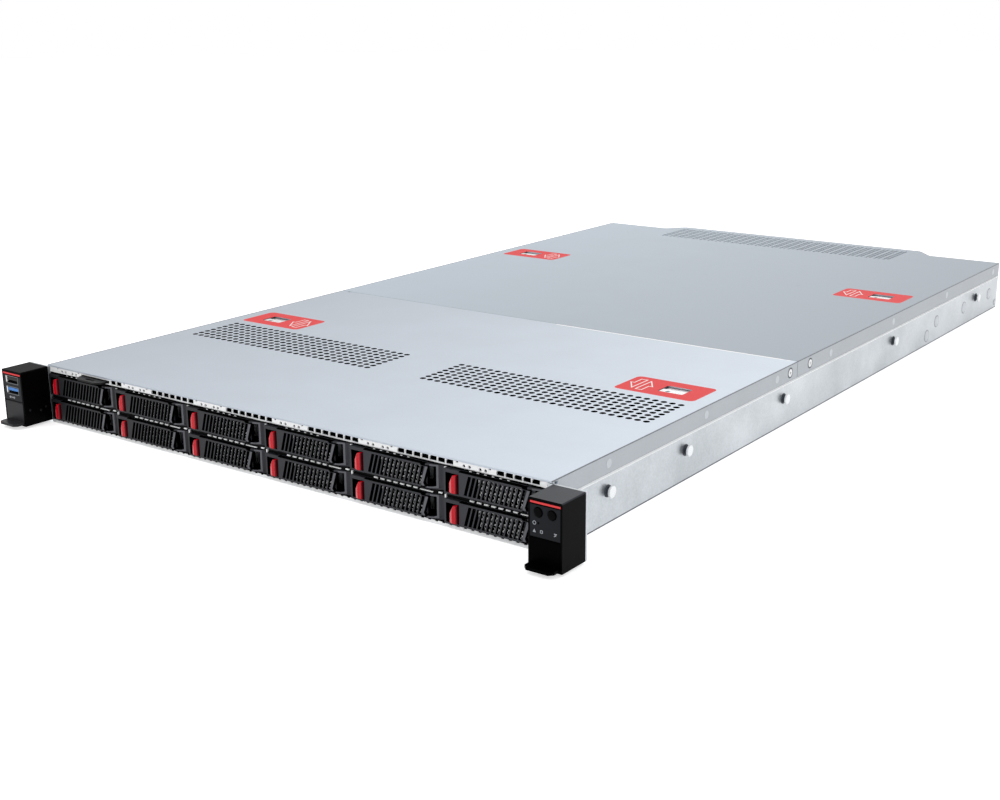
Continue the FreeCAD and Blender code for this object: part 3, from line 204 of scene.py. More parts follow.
def printed_film(name, pair, rough, level=0.5):
    """Printed vinyl film: an even ink over the slight orange peel of its adhesive."""
    material, tree, _, fade, peel = open_material(name, (24, 2.0), (2.5, 1.0))
    colour = add_node(tree, "ShaderNodeMix", {0: fade}, {6: pair[0], 7: pair[1]}, data_type="RGBA")
    close_material(tree, colour.outputs[2], peel, peel, (rough, 0.06), (0.015, 0.3),
                   {"IOR": 1.5, "Specular IOR Level": level})
    return material


def solder_mask(name):
    """Circuit board under green solder mask: copper tracks show as slightly raised lighter lines."""
    material, tree, place, cloud = open_material(name, (9, 2.0))
    tracks = add_node(tree, "ShaderNodeTexBrick", {"Vector": place},
                      {"Scale": 1 / (11 * MM), "Mortar Size": 0.03, "Brick Width": 0.6, "Row Height": 0.14,
                       "Color1": linear("0F4A2C"), "Color2": linear("15593B"), "Mortar": linear("2C7A55")},
                      offset=0.37, squash=1.6)
    close_material(tree, tracks.outputs["Color"], cloud, tracks.outputs["Fac"], (0.35, 0.07), (0.03, 0.5),
                   {"IOR": 1.5})
    return material


ACROSS, ALONG, UPRIGHT = (12, 1, 1), (1, 12, 1), (1, 1, 12)
FINISH = {}


def make_finishes(look):
    """Every finish of the server, by its short name."""
    # The lean pairs in this table paint light and shade: the sheets, carriers and levers turn lighter or
    # darker across the server as the light falls on them.
    FINISH.update({
        "front_sheet": zinc_sheet("powder_coated_zinc_front", shades(look.front_cover, 0.03), 0.0, 0.45,
                                  (0.82, 1.20)),
        "rear_sheet": zinc_sheet("powder_coated_zinc_rear", shades(look.rear_cover, 0.03), 0.0, 0.45,
                                 (1.12, 0.77)),
        # Painted shade: the flanges are the same sheet as the cover tops, given a darker tone on their
        # side-facing faces.
        "flange_painted_shade": zinc_sheet("painted_shade_zinc_flange", tones("AEB4BA", "B6BCC2"), 0.1, 0.4,
                                   (1.04, 0.92), 1),
        # Painted shade: dark grey for the rounded cover folds and the rings round the pressed bumps.
        "fold_painted_shade": zinc_sheet("painted_shade_zinc_fold", tones("61676E", "6C7279"), 0.1, 0.4),
        "rivet_zinc": zinc_sheet("pressed_rivet_zinc", tones("C4CAD0", "D0D5DA"), 0.1, 0.4),
        "case_steel": zinc_sheet("galvanised_case_steel", tones("B0B6BA", "CFD4D8"), 0.75, 0.33,
                                 (0.98, 0.84), 1),
        # Painted highlight: near-white steel for the seam strip, wall shoulders, screw heads, socket edges
        # and lever screens, standing for the light they catch.
        "steel_highlight": drawn_metal("steel_painted_highlight", tones("F2F5F7", "FFFFFF"), 0.4, ALONG, 0.1),
        # Painted shade: dark grey for folds, recess walls, latch slots, screw wells and stud collars and
        # necks, where shade falls.
        "fold_shade": moulded_plastic("painted_shade_steel", tones("3A3F46", "4C525A"), 0.5, 0.4, 0.01, 0.2),
        "strip_steel": drawn_metal("plated_strip_steel", tones("EEF1F3", "FFFFFF"), 0.34, ACROSS, 0.1),
        "latch_steel": drawn_metal("stamped_latch_steel", tones("C9CBCC", "EDEEEE"), 0.28, ALONG),
        "port_steel": drawn_metal("stamped_port_steel", tones("4A4C4F", "74777A"), 0.34, ALONG),
        "screw_steel": drawn_metal("turned_screw_steel", tones("85888B", "B6B9BC"), 0.32, UPRIGHT),
        "stud_steel": drawn_metal("turned_stud_steel", tones("E4E8EA", "FCFDFE"), 0.3, ACROSS, 0.3),
        # Painted shade: the steel drive cage is black where it lies in shade behind the carriers.
        "cage_shade_black": moulded_plastic("painted_shade_cage_black", tones("030304", "060607"), 0.5, 0.4, 0.01, 0.05),
        "hollow_black": moulded_plastic("shaded_hollow_black", tones("010101", "020202"), 0.7, 0.4, 0.01,
                                        0.01),
        # Painted light and shade: the carrier and lever plastics are darker to the left and lighter to the
        # right.
        "carrier_black": moulded_plastic("moulded_abs_carrier", tones("292A2F", "36373C"), 0.42, level=0.2,
                                         lean=(0.45, 1.3)),
        "lever_black": moulded_plastic("moulded_abs_lever", tones("292A2F", "37383D"), 0.4, level=0.2,
                                       lean=(0.45, 1.3)),
        "frame_grey": moulded_plastic("moulded_abs_grey_rim", tones("57585E", "66676D"), 0.42, level=0.3),
        "case_aluminium": drawn_metal("drive_case_aluminium", tones("6C6F72", "8A8D90"), 0.42, ALONG),
        "release_red": moulded_plastic("tinted_polycarbonate_red", shades(look.release_red, 0.08), 0.25, 0.5,
                                       0.006, 0.2),
        # Painted shade and painted highlight: darker and lighter copies of the button's red.
        "release_shade": moulded_plastic("polycarbonate_painted_shade", tones("5A0610", "700A16"), 0.3, 0.5,
                                        0.006, 0.2),
        "release_highlight": moulded_plastic("polycarbonate_painted_highlight", tones("E4474F", "EE5F66"), 0.25, 0.5,
                                        0.006, 0.3),
        "ear_black": moulded_plastic("moulded_abs_ear", tones("010102", "030304"), 0.4, 0.3, 0.012, 0.02),
        # Painted light: a lighter copy of the ear's black for its top faces.
        "ear_top_painted_light": moulded_plastic("moulded_abs_ear_painted_top_light", tones("1A1D24", "242831"), 0.36, 0.3, 0.012,
                                     0.15),
        "panel_slate": moulded_plastic("moulded_abs_ear_panel", tones("15171B", "1B1E22"), 0.36, 0.3, 0.012,
                                       0.08),
        "flap_lighter": moulded_plastic("moulded_abs_flap_lighter", tones("202023", "28282B"), 0.36, 0.3, 0.012,
                                     0.12),
        "flap_black": moulded_plastic("moulded_abs_flap", tones("010102", "020203"), 0.34, 0.3, 0.012, 0.01),
        "key_black": moulded_plastic("moulded_polycarbonate_key", tones("010101", "020202"), 0.2, 0.4, 0.006,
                                     0.03),
        "label_red": printed_film("printed_vinyl_red", shades(look.label_red, 0.03), 0.6, 0.2),
        "label_white": printed_film("printed_ink_white", tones("F0E6E4", "FAF4F2"), 0.45),
        "mark_white": printed_film("pad_printed_white", tones("8E9298", "A4A8AE"), 0.5),
        "port_blue": moulded_plastic("moulded_nylon_blue", tones("0C70C4", "1C8AE2"), 0.35, 0.4, 0.005),
        "port_black": moulded_plastic("moulded_nylon_black", tones("050506", "0A0A0C"), 0.4, 0.4, 0.005, 0.2),
        "board_green": solder_mask("solder_mask_green"),
        "chip_black": moulded_plastic("epoxy_chip_black", tones("17171A", "232327"), 0.5, 0.3, 0.01),
        "sink_aluminium": drawn_metal("extruded_aluminium_fins", tones("A0A4A7", "C6CACD"), 0.34, ALONG),
        "fan_black": moulded_plastic("glass_filled_nylon_fan", tones("131315", "1E1E21"), 0.48),
        "supply_steel": zinc_sheet("galvanised_supply_steel", tones("A4A8AB", "C2C5C8"), 0.75, 0.36),
        "tag_black": moulded_plastic("moulded_abs_tag", tones("060608", "0C0C0F"), 0.42, level=0.12),
        "lamp_green": moulded_plastic("light_pipe_green", tones("1FA24A", "35C463"), 0.25, 0.4, 0.004),
        "contact_gold": drawn_metal("plated_contact_gold", tones("B08A3C", "D8B565"), 0.3, ALONG),
        "can_aluminium": drawn_metal("capacitor_can_aluminium", tones("9EA2A5", "C9CCCF"), 0.3, UPRIGHT),
    })


# ------------------------------------------------------------------ meshes, in millimetres

def along(axis, a, b, height):
    """A point in metres whose height runs along an axis and whose a and b are the other two."""
    order = {0: (height, a, b), 1: (a, height, b), 2: (a, b, height)}[axis]
    return [value * MM for value in order]


def add_prism(bm, outline, low, high, axis=2):
    """Add a closed prism over an outline, between two heights along an axis."""
    ends = [[bm.verts.new(along(axis, a, b, height)) for a, b in outline] for height in (low, high)]
    bm.faces.new(ends[0][::-1])
    bm.faces.new(ends[1])
    for i in range(len(outline)):
        j = (i + 1) % len(outline)
        bm.faces.new((ends[0][i], ends[0][j], ends[1][j], ends[1][i]))
    return bm


def add_box(bm, low, high):
    """Add a box between two corners."""
    return add_prism(bm, rectangle(low[0], low[1], high[0], high[1]), low[2], high[2])


def add_pair(bm, xs, ys, zs):
    """Add a box on each side of the middle, between two distances from it."""
    for side in (-1, 1):
        x0, x1 = sorted(side * x for x in xs)
        add_box(bm, (x0, ys[0], zs[0]), (x1, ys[1], zs[1]))
    return bm


def add_ring(bm, outer, inner, low, high, axis=2):
    """Add a closed frame between two outlines that have as many points."""
    loops = [[bm.verts.new(along(axis, a, b, height)) for a, b in outline]
             for height in (low, high) for outline in (outer, inner)]
    for first, second in ((0, 2), (2, 3), (3, 1), (1, 0)):
        for i in range(len(outer)):
            j = (i + 1) % len(outer)
            bm.faces.new((loops[first][i], loops[first][j], loops[second][j], loops[second][i]))
    return bm


def add_turned(bm, centre, profile, axis=2, count=24):
    """Add a turned solid from (radius, height) pairs along an axis, with flat ends."""
    loops = [[bm.verts.new(along(axis, a, b, height)) for a, b in circle(centre, radius, count)]
             for radius, height in profile]
    bm.faces.new(loops[0][::-1])
    bm.faces.new(loops[-1])
    for first, second in zip(loops, loops[1:]):
        for i in range(count):
            j = (i + 1) % count
            bm.faces.new((first[i], first[j], second[j], second[i]))
    return bm


def rectangle(x0, y0, x1, y1):
    """Corners of a rectangle."""
    return [(x0, y0), (x1, y0), (x1, y1), (x0, y1)]


def circle(centre, radius, count):
    """Points of a circle."""
    return [(centre[0] + radius * math.cos(2 * math.pi * i / count),
             centre[1] + radius * math.sin(2 * math.pi * i / count)) for i in range(count)]


def rounded(x0, y0, x1, y1, radius, steps=5):
    """Corners of a rectangle with rounded corners."""
    points = []
    for quarter, (cx, cy) in enumerate(((x1 - radius, y1 - radius), (x0 + radius, y1 - radius),
                                        (x0 + radius, y0 + radius), (x1 - radius, y0 + radius))):
        for i in range(steps + 1):
            angle = math.pi / 2 * (quarter + i / steps)
            points.append((cx + radius * math.cos(angle), cy + radius * math.sin(angle)))
    return points


def inset(outline, distance):
    """An outline moved inwards by a distance; its points run anticlockwise."""
    points = []
    count = len(outline)
    for i in range(count):
        before, here, after = (Vector(outline[k % count]) for k in (i - 1, i, i + 1))
        first = (here - before).normalized()
        second = (after - here).normalized()
        normal = Vector((-first.y - second.y, first.x + second.x))
        half = math.sqrt((1 + first.dot(second)) / 2)
        points.append(tuple(here + normal.normalized() * distance / half))
    return points


def new_object(name, bm):
    """A bmesh as an object with outward faces."""
    mesh = bpy.data.meshes.new(name)
    bmesh.ops.recalc_face_normals(bm, faces=bm.faces)
    bm.to_mesh(mesh)
    bm.free()
    piece = bpy.data.objects.new(name, mesh)
    bpy.context.scene.collection.objects.link(piece)
    return piece


def finish_piece(piece, finish, body, sharp=40):
    """Give a piece its finish, its shading and the body it rides on."""
    if finish:
        piece.data.materials.clear()
        piece.data.materials.append(FINISH[finish])
    piece.data.shade_smooth()
    piece.data.set_sharp_from_angle(angle=math.radians(sharp))
    weighted = piece.modifiers.new("normals", "WEIGHTED_NORMAL")
    weighted.keep_sharp = True
    settle(piece)
    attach(piece, body)
    return piece


def add_piece(name, bm, finish, body):
    """A finished piece from a bmesh."""
    return finish_piece(new_object(name, bm), finish, body)


def add_finish(piece, finish, test):
    """Give the faces that pass a test another finish; it gets their centre in millimetres."""
    piece.data.materials.append(FINISH[finish])
    last = len(piece.data.materials) - 1
    for face in piece.data.polygons:
        if test(face.center / MM, face.normal):
            face.material_index = last


def body_of(node):
    """The body that a CAD node belongs to."""
    return NODES[node]["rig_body"]


def paint_node(node, finish):
    """Give a CAD node that stays in view its finish."""
    mesh = NODES[node].data
    mesh.materials.clear()
    mesh.materials.append(FINISH[finish])


def merged_copy(node, flat=False):
    """A CAD node's mesh as a bmesh with its corners joined, and its flat faces whole if asked."""
    bm = bmesh.new()
    bm.from_mesh(NODES[node].data)
    bmesh.ops.remove_doubles(bm, verts=bm.verts, dist=WELD * MM)
    if flat:
        bmesh.ops.dissolve_limit(bm, angle_limit=math.radians(FLAT_ANGLE), verts=bm.verts, edges=bm.edges)
    return bm


def settle(piece):
    """Turn a piece's modifiers into plain mesh and drop them."""
    bpy.context.view_layer.update()
    mesh = bpy.data.meshes.new_from_object(piece.evaluated_get(bpy.context.evaluated_depsgraph_get()))
    piece.modifiers.clear()
    piece.data = mesh
    return piece


def carve(piece, bm):
    """Cut closed shapes out of a piece."""
    tool = new_object("tool", bm)
    cut = piece.modifiers.new("cut", "BOOLEAN")
    cut.operation = "DIFFERENCE"
    cut.solver = "MANIFOLD"
    cut.object = tool
    settle(piece)
    bpy.data.objects.remove(tool)
    return piece


def soften(piece, width, segments=2, angle=35):
    """Round a piece's edges a little, as moulding does."""
    bevel = piece.modifiers.new("edges", "BEVEL")
    bevel.width = width * MM
    bevel.segments = segments
    bevel.limit_method = "ANGLE"
    bevel.angle_limit = math.radians(angle)
    return settle(piece)


def soften_prism(outline, low, high, axis=2):
    """A prism over an outline as a bmesh with slightly bevelled edges."""
    bm = add_prism(bmesh.new(), outline, low, high, axis)
    bmesh.ops.bevel(bm, geom=bm.edges[:], offset=0.3 * MM, segments=2, affect="EDGES", profile=0.5)
    return bm


def loose_parts(bm):
    """The separate solids of a bmesh, as lists of vertices."""
    bm.verts.index_update()
    parts, seen = [], set()
    for start in bm.verts:
        if start in seen:
            continue
        part, queue = [], [start]
        seen.add(start)
        while queue:
            vert = queue.pop()
            part.append(vert)
            for edge in vert.link_edges:
                other = edge.other_vert(vert)
                if other not in seen:
                    seen.add(other)
                    queue.append(other)
        parts.append(part)
    return parts


# ------------------------------------------------------------------ geometry nodes

def open_tree(name, inputs):
    """A Geometry Nodes tree with named inputs, each (name, socket type, default)."""
    tree = bpy.data.node_groups.new(name, "GeometryNodeTree")
    tree.interface.new_socket("Geometry", in_out="INPUT", socket_type="NodeSocketGeometry")
    for label, kind, value in inputs:
        socket = tree.interface.new_socket(label, in_out="INPUT", socket_type=kind)
        if value is not None:
            socket.default_value = value
    tree.interface.new_socket("Material", in_out="INPUT", socket_type="NodeSocketMaterial")
    tree.interface.new_socket("Geometry", in_out="OUTPUT", socket_type="NodeSocketGeometry")
    return tree, add_node(tree, "NodeGroupInput").outputs


def close_tree(tree, geometry, source):
    """End a tree with Realize Instances and Set Material."""
    real = add_node(tree, "GeometryNodeRealizeInstances", {"Geometry": geometry})
    dressed = add_node(tree, "GeometryNodeSetMaterial",
                       {"Geometry": real.outputs[0], "Material": source["Material"]})
    add_node(tree, "NodeGroupOutput", {0: dressed.outputs[0]})
    return tree


def perforation_tree():
    """A grid of round holes cut through a sheet that lies flat, or is turned by an angle about x."""
    tree, source = open_tree("Perforation", [
        ("Columns", "NodeSocketInt", 10), ("Rows", "NodeSocketInt", 5),
        ("Width", "NodeSocketFloat", 0.1), ("Depth", "NodeSocketFloat", 0.05),
        ("Radius", "NodeSocketFloat", 0.002), ("Through", "NodeSocketFloat", 0.003),
        ("Sides", "NodeSocketInt", 12), ("Centre", "NodeSocketVector", None),
        ("Turn", "NodeSocketVector", None)])
    grid = add_node(tree, "GeometryNodeMeshGrid", {
        "Size X": source["Width"], "Size Y": source["Depth"],
        "Vertices X": source["Columns"], "Vertices Y": source["Rows"]})
    moved = add_node(tree, "GeometryNodeTransform", {
        "Geometry": grid.outputs[0], "Translation": source["Centre"], "Rotation": source["Turn"]})
    punch = add_node(tree, "GeometryNodeMeshCylinder",
                     {"Vertices": source["Sides"], "Radius": source["Radius"], "Depth": source["Through"]},
                     fill_type="NGON")
    punches = add_node(tree, "GeometryNodeInstanceOnPoints", {
        "Points": moved.outputs[0], "Instance": punch.outputs[0], "Rotation": source["Turn"]})
    solid = add_node(tree, "GeometryNodeRealizeInstances", {"Geometry": punches.outputs[0]})
    cut = add_node(tree, "GeometryNodeMeshBoolean",
                   {"Mesh 1": source["Geometry"], "Mesh 2": solid.outputs[0]},
                   operation="DIFFERENCE", solver="MANIFOLD")
    return close_tree(tree, cut.outputs[0], source)


def points_tree():
    """A copy of the incoming piece on each vertex of another object."""
    tree, source = open_tree("Pieces on points", [("Points", "NodeSocketObject", None)])
    places = add_node(tree, "GeometryNodeObjectInfo", {"Object": source["Points"]})
    copies = add_node(tree, "GeometryNodeInstanceOnPoints",
                      {"Points": places.outputs["Geometry"], "Instance": source["Geometry"]})
    return close_tree(tree, copies.outputs[0], source)


TREES = {}


def grow(piece, maker, **values):
    """Run a Geometry Nodes tree on a piece and keep its result as plain mesh."""
    if maker not in TREES:
        TREES[maker] = maker()
    modifier = piece.modifiers.new("nodes", "NODES")
    modifier.node_group = TREES[maker]
    for item in TREES[maker].interface.items_tree:
        if item.in_out == "INPUT" and item.name.lower() in values:
            modifier[item.identifier] = values[item.name.lower()]
    return settle(piece)


def repeated(name, bm, points, finish, body):
    """One small piece repeated on a list of points, on one body."""
    cloud = bpy.data.meshes.new("places")
    cloud.from_pydata([[value * MM for value in point] for point in points], [], [])
    places = bpy.data.objects.new("places", cloud)
    bpy.context.scene.collection.objects.link(places)
    piece = new_object(name, bm)
    grow(piece, points_tree, points=places, material=FINISH[finish])
    bpy.data.objects.remove(places)
    return finish_piece(piece, None, body)


# ------------------------------------------------------------------ settings

def colour_setting(name, description, text):
    """A colour that a user can change; its default is an sRGB hex value."""
    return bpy.props.FloatVectorProperty(name=name, description=description, subtype="COLOR", size=4,
                                         min=0, max=1, default=linear(text))


def length_setting(name, description, millimetres):
    """A length that a user can change."""
    return bpy.props.FloatProperty(name=name, description=description, unit="LENGTH",
                                   default=millimetres * MM)


class ServerLook(bpy.types.PropertyGroup):
    """Colours that a user would change."""
    front_cover: colour_setting("Front cover", "Colour of the front cover", "C5CED9")
    rear_cover: colour_setting("Rear cover", "Colour of the rear cover", "AEB9C4")
    label_red: colour_setting("Label", "Red of the latch labels", "E84648")
    release_red: colour_setting("Release button", "Red of the release buttons", "CC0A20")


class ServerSizes(bpy.types.PropertyGroup):
    """Sizes of what dresses the server."""
    hole_radius: length_setting("Vent hole", "Radius of the front cover's holes", 2.25)
    hole_pitch_x: length_setting("Vent pitch across", "Distance between holes across the cover", 6.35)
    hole_pitch_y: length_setting("Vent pitch along", "Distance between holes along the cover", 6.25)
    label_width: length_setting("Label width", "Width of a latch label", 61)
    label_depth: length_setting("Label depth", "Depth of a latch label", 35.5)
    rivet_radius: length_setting("Rivet", "Radius of the flush rivets in the flange", 2.8)
    edge_round: length_setting("Edge round", "Rounding of the moulded edges", 0.3)


class DressOperator:
    """What every operator of this add-on shares."""
    bl_options = {"REGISTER", "UNDO"}

    @property
    def sizes(self):
        return bpy.context.scene.server_sizes


# ------------------------------------------------------------------ covers

LABEL_X = 176.8
LATCH_X = 184.5
LATCHES = {"front": 197.5, "rear": 558.0}
FILM = 0.05


def label_outline(side, middle, sizes, grow_by=0.0):
    """Outline of one latch label."""
    half_x = sizes.label_width / MM / 2 + grow_by
    half_y = sizes.label_depth / MM / 2 + grow_by
    return rounded(side * LABEL_X - half_x, middle - half_y, side * LABEL_X + half_x, middle + half_y,
                   4 + grow_by)


class SERVER_OT_covers(DressOperator, bpy.types.Operator):
    """Make the two steel covers with their vents, dimples and label beds"""
    bl_idname = "server.covers"
    bl_label = "Covers"

    SEAM = (12, 311.5, 214, 313.6)
    SEAM_DEPTH = 0.2
    SHEET = 1.2
    POCKET_X, POCKET_Y = 11, 9
    NOTCH = ((207.5, 315), (207.5, 313.1), (210.5, 311.6), (211.5, 313), (209, 315))
    DIMPLES = {"front": ((96.7, 205.7), (59.6, 19.4)),
               "rear": ((-23.5, 560.6), (12.8, 560.6), (105.2, 560.6))}
    DIMPLE = ((1.2, -0.5), (3.2, 0), (3.2, 1))
    VENTS = {"front": (122, 172), "rear": (725, 780)}
    FIELDS = {"front": ((-112.6, 147), (116, 147)), "rear": ((-4.3, 751), (-0.7, 753))}
    # Black sheets under the vents, painted shade seen through the holes.
    SHADE_SHEETS = {"front": ((-206, 121, -19, 173), (22, 121, 210, 173)), "rear": ((-132, 724, 128, 781),)}
    SCREEN_LOW, SCREEN_HIGH = -1.45, -1.25

    def execute(self, context):
        for cover, middle in LATCHES.items():
            self.make_cover(cover, middle)
        return {"FINISHED"}

    def make_cover(self, cover, middle):
        """One cover, whose flanges, latch pockets and holes have finishes of their own."""
        node = f"{cover}_cover"
        body = body_of(node)
        piece = new_object(f"{cover}_cover_sheet", merged_copy(node))
        carve(piece, self.beds(cover, middle))
        for field in self.fields(cover):
            grow(piece, perforation_tree, material=FINISH[f"{cover}_sheet"], **field)
        finish_piece(piece, f"{cover}_sheet", body, 32)
        first, last = self.VENTS[cover]
        # Painted shade: the side-facing flanges get the darker copy of the sheet.
        add_finish(piece, "flange_painted_shade", lambda at, normal: abs(normal.x) > 0.7 and abs(at.x) > FLANK - 1.5)
        inside = TOP - self.SHEET
        # Painted shade on the left walls of the latch openings.
        add_finish(piece, "fold_shade", lambda at, normal: abs(abs(at.x) - LATCH_X) < self.POCKET_X
                   and normal.x > 0.5 and abs(at.y - middle) < self.POCKET_Y and at.z > inside)
        add_finish(piece, "hollow_black", lambda at, normal: at.z > inside and abs(normal.z) < 0.5
                   and first < at.y < last and abs(at.x) < FLANK - 5
                   and (cover == "front" or normal.y > -0.2))
        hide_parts(node)
        self.add_fold_lines(cover, body)
        self.add_dust_screens(cover, body)
        if cover == "front":
            # A near-white strip along the seam's right half: painted highlight.
            x0, y0, x1, y1 = self.SEAM
            edge = add_box(bmesh.new(), (x0, y0, TOP - self.SEAM_DEPTH), (x1, y1, TOP - 0.01))
            add_piece("front_cover_seam_edge", edge, "steel_highlight", body)

    def beds(self, cover, middle):
        """What is cut from a cover: beds for its labels, its seam with two notches, and dimples."""
        bm = bmesh.new()
        for side in (-1, 1):
            add_prism(bm, label_outline(side, middle, self.sizes, 0.05), TOP - FILM, TOP + 1)
        if cover == "front":
            x0, y0, x1, y1 = self.SEAM
            add_box(bm, (x0, y0, TOP - self.SEAM_DEPTH), (x1, y1 + 1, TOP + 1))
            for side in (-1, 1):
                add_prism(bm, [(side * x, y) for x, y in self.NOTCH][::side], TOP - 1.5, TOP + 1)
        for spot in self.DIMPLES[cover]:
            add_turned(bm, spot, [(radius, TOP + height) for radius, height in self.DIMPLE])
        return bm

    def add_fold_lines(self, cover, body):
        """Outer radius of the fold between a cover's top and its flanges, painted dark grey as the shade
        where the fold turns from the light.
        """
        low, high = low_high(f"{cover}_cover")
        front, back = (low.y + 0.2, high.y - 0.1) if cover == "front" else (low.y + 0.1, DEPTH - 1)
        lines = add_pair(bmesh.new(), (FLANK - 0.3, FLANK + PROUD), (front, back), (TOP - 0.65, TOP - 0.05))
        add_piece(f"{cover}_fold_lines", lines, "fold_painted_shade", body)

    def add_dust_screens(self, cover, body):
        """Thin black sheets under the vents: painted shade that keeps the holes dark."""
        bm = bmesh.new()
        for x0, y0, x1, y1 in self.SHADE_SHEETS[cover]:
            add_box(bm, (x0, y0, TOP + self.SCREEN_LOW), (x1, y1, TOP + self.SCREEN_HIGH))
        add_piece(f"{cover}_dust_screens", bm, "hollow_black", body)

    def fields(self, cover):
        """The two fields of holes of a cover, as inputs of their tree."""
        sizes = self.sizes
        columns, rows, across, back, radius, sides = {
            "front": (29, 8, sizes.hole_pitch_x, sizes.hole_pitch_y, sizes.hole_radius, 12),
            "rear": (28, 13, 9.2 * MM, 4 * MM, 1.5 * MM, 10)}[cover]
        return [dict(columns=columns, rows=rows, width=(columns - 1) * across, depth=(rows - 1) * back,
                     radius=radius, through=4 * MM, sides=sides, centre=(x * MM, y * MM, TOP * MM))
                for x, y in self.FIELDS[cover]]


class SERVER_OT_labels(DressOperator, bpy.types.Operator):
    """Lay the red latch labels and their arrows into the covers"""
    bl_idname = "server.labels"
    bl_label = "Labels"

    HOLE_X, HOLE_Y = 9.3, 7.4
    HARPOON = ((10.9, -11.5), (10.9, 12.0), (5.4, 12.0), (5.4, 2.0), (2.3, 2.0))
    PAIR = 24.7
    STROKE = 0.9

    def execute(self, context):
        for cover, middle in LATCHES.items():
            films, arrows = bmesh.new(), bmesh.new()
            for side in (-1, 1):
                self.add_film(films, side, middle)
                self.add_arrows(arrows, side, middle)
            body = body_of(f"{cover}_cover")
            add_piece(f"{cover}_labels", films, "label_red", body)
            add_piece(f"{cover}_label_arrows", arrows, "label_white", body)
        return {"FINISHED"}

    def add_film(self, bm, side, middle):
        """One film with a hole for its latch; both outlines have the same number of points."""
        x = side * LATCH_X
        hole = rounded(x - self.HOLE_X, middle - self.HOLE_Y, x + self.HOLE_X, middle + self.HOLE_Y, 1.2)
        add_ring(bm, label_outline(side, middle, self.sizes), hole, TOP - FILM, TOP - 0.015)

    def add_arrows(self, bm, side, middle):
        """Two opposed arrow outlines, like half arrows side by side."""
        edge = self.sizes.label_width / MM / 2
        left = side * LABEL_X - edge if side > 0 else side * LABEL_X + edge - self.PAIR
        for sign in (1, -1):
            shape = [(left + (x if sign > 0 else self.PAIR - x), middle + sign * y) for x, y in self.HARPOON]
            add_ring(bm, shape, inset(shape, self.STROKE), TOP - 0.03, TOP)


class SERVER_OT_latches(DressOperator, bpy.types.Operator):
    """Finish the four cover latches"""
    bl_idname = "server.latches"
    bl_label = "Latches"

    SLOT = ((-1.6, -1.4), (0.4, -1.4), (1.6, 1.4), (-0.4, 1.4))

    def execute(self, context):
        for cover in LATCHES:
            for name, side in SIDES:
                node = f"{cover}_latch_{name}"
                paint_node(node, "latch_steel")
                low, high = low_high(node)
                x, y = side * LATCH_X - 3.2, low.y + 7.5
                # The slot is a thin dark plate on the latch: painted shade of a slot.
                slot = bmesh.new()
                add_prism(slot, [(x + a, y + b) for a, b in self.SLOT], high.z - 0.3, high.z + 0.02)
                add_piece(f"{node}_slot", slot, "fold_shade", body_of(node))
        return {"FINISHED"}


# ------------------------------------------------------------------ case

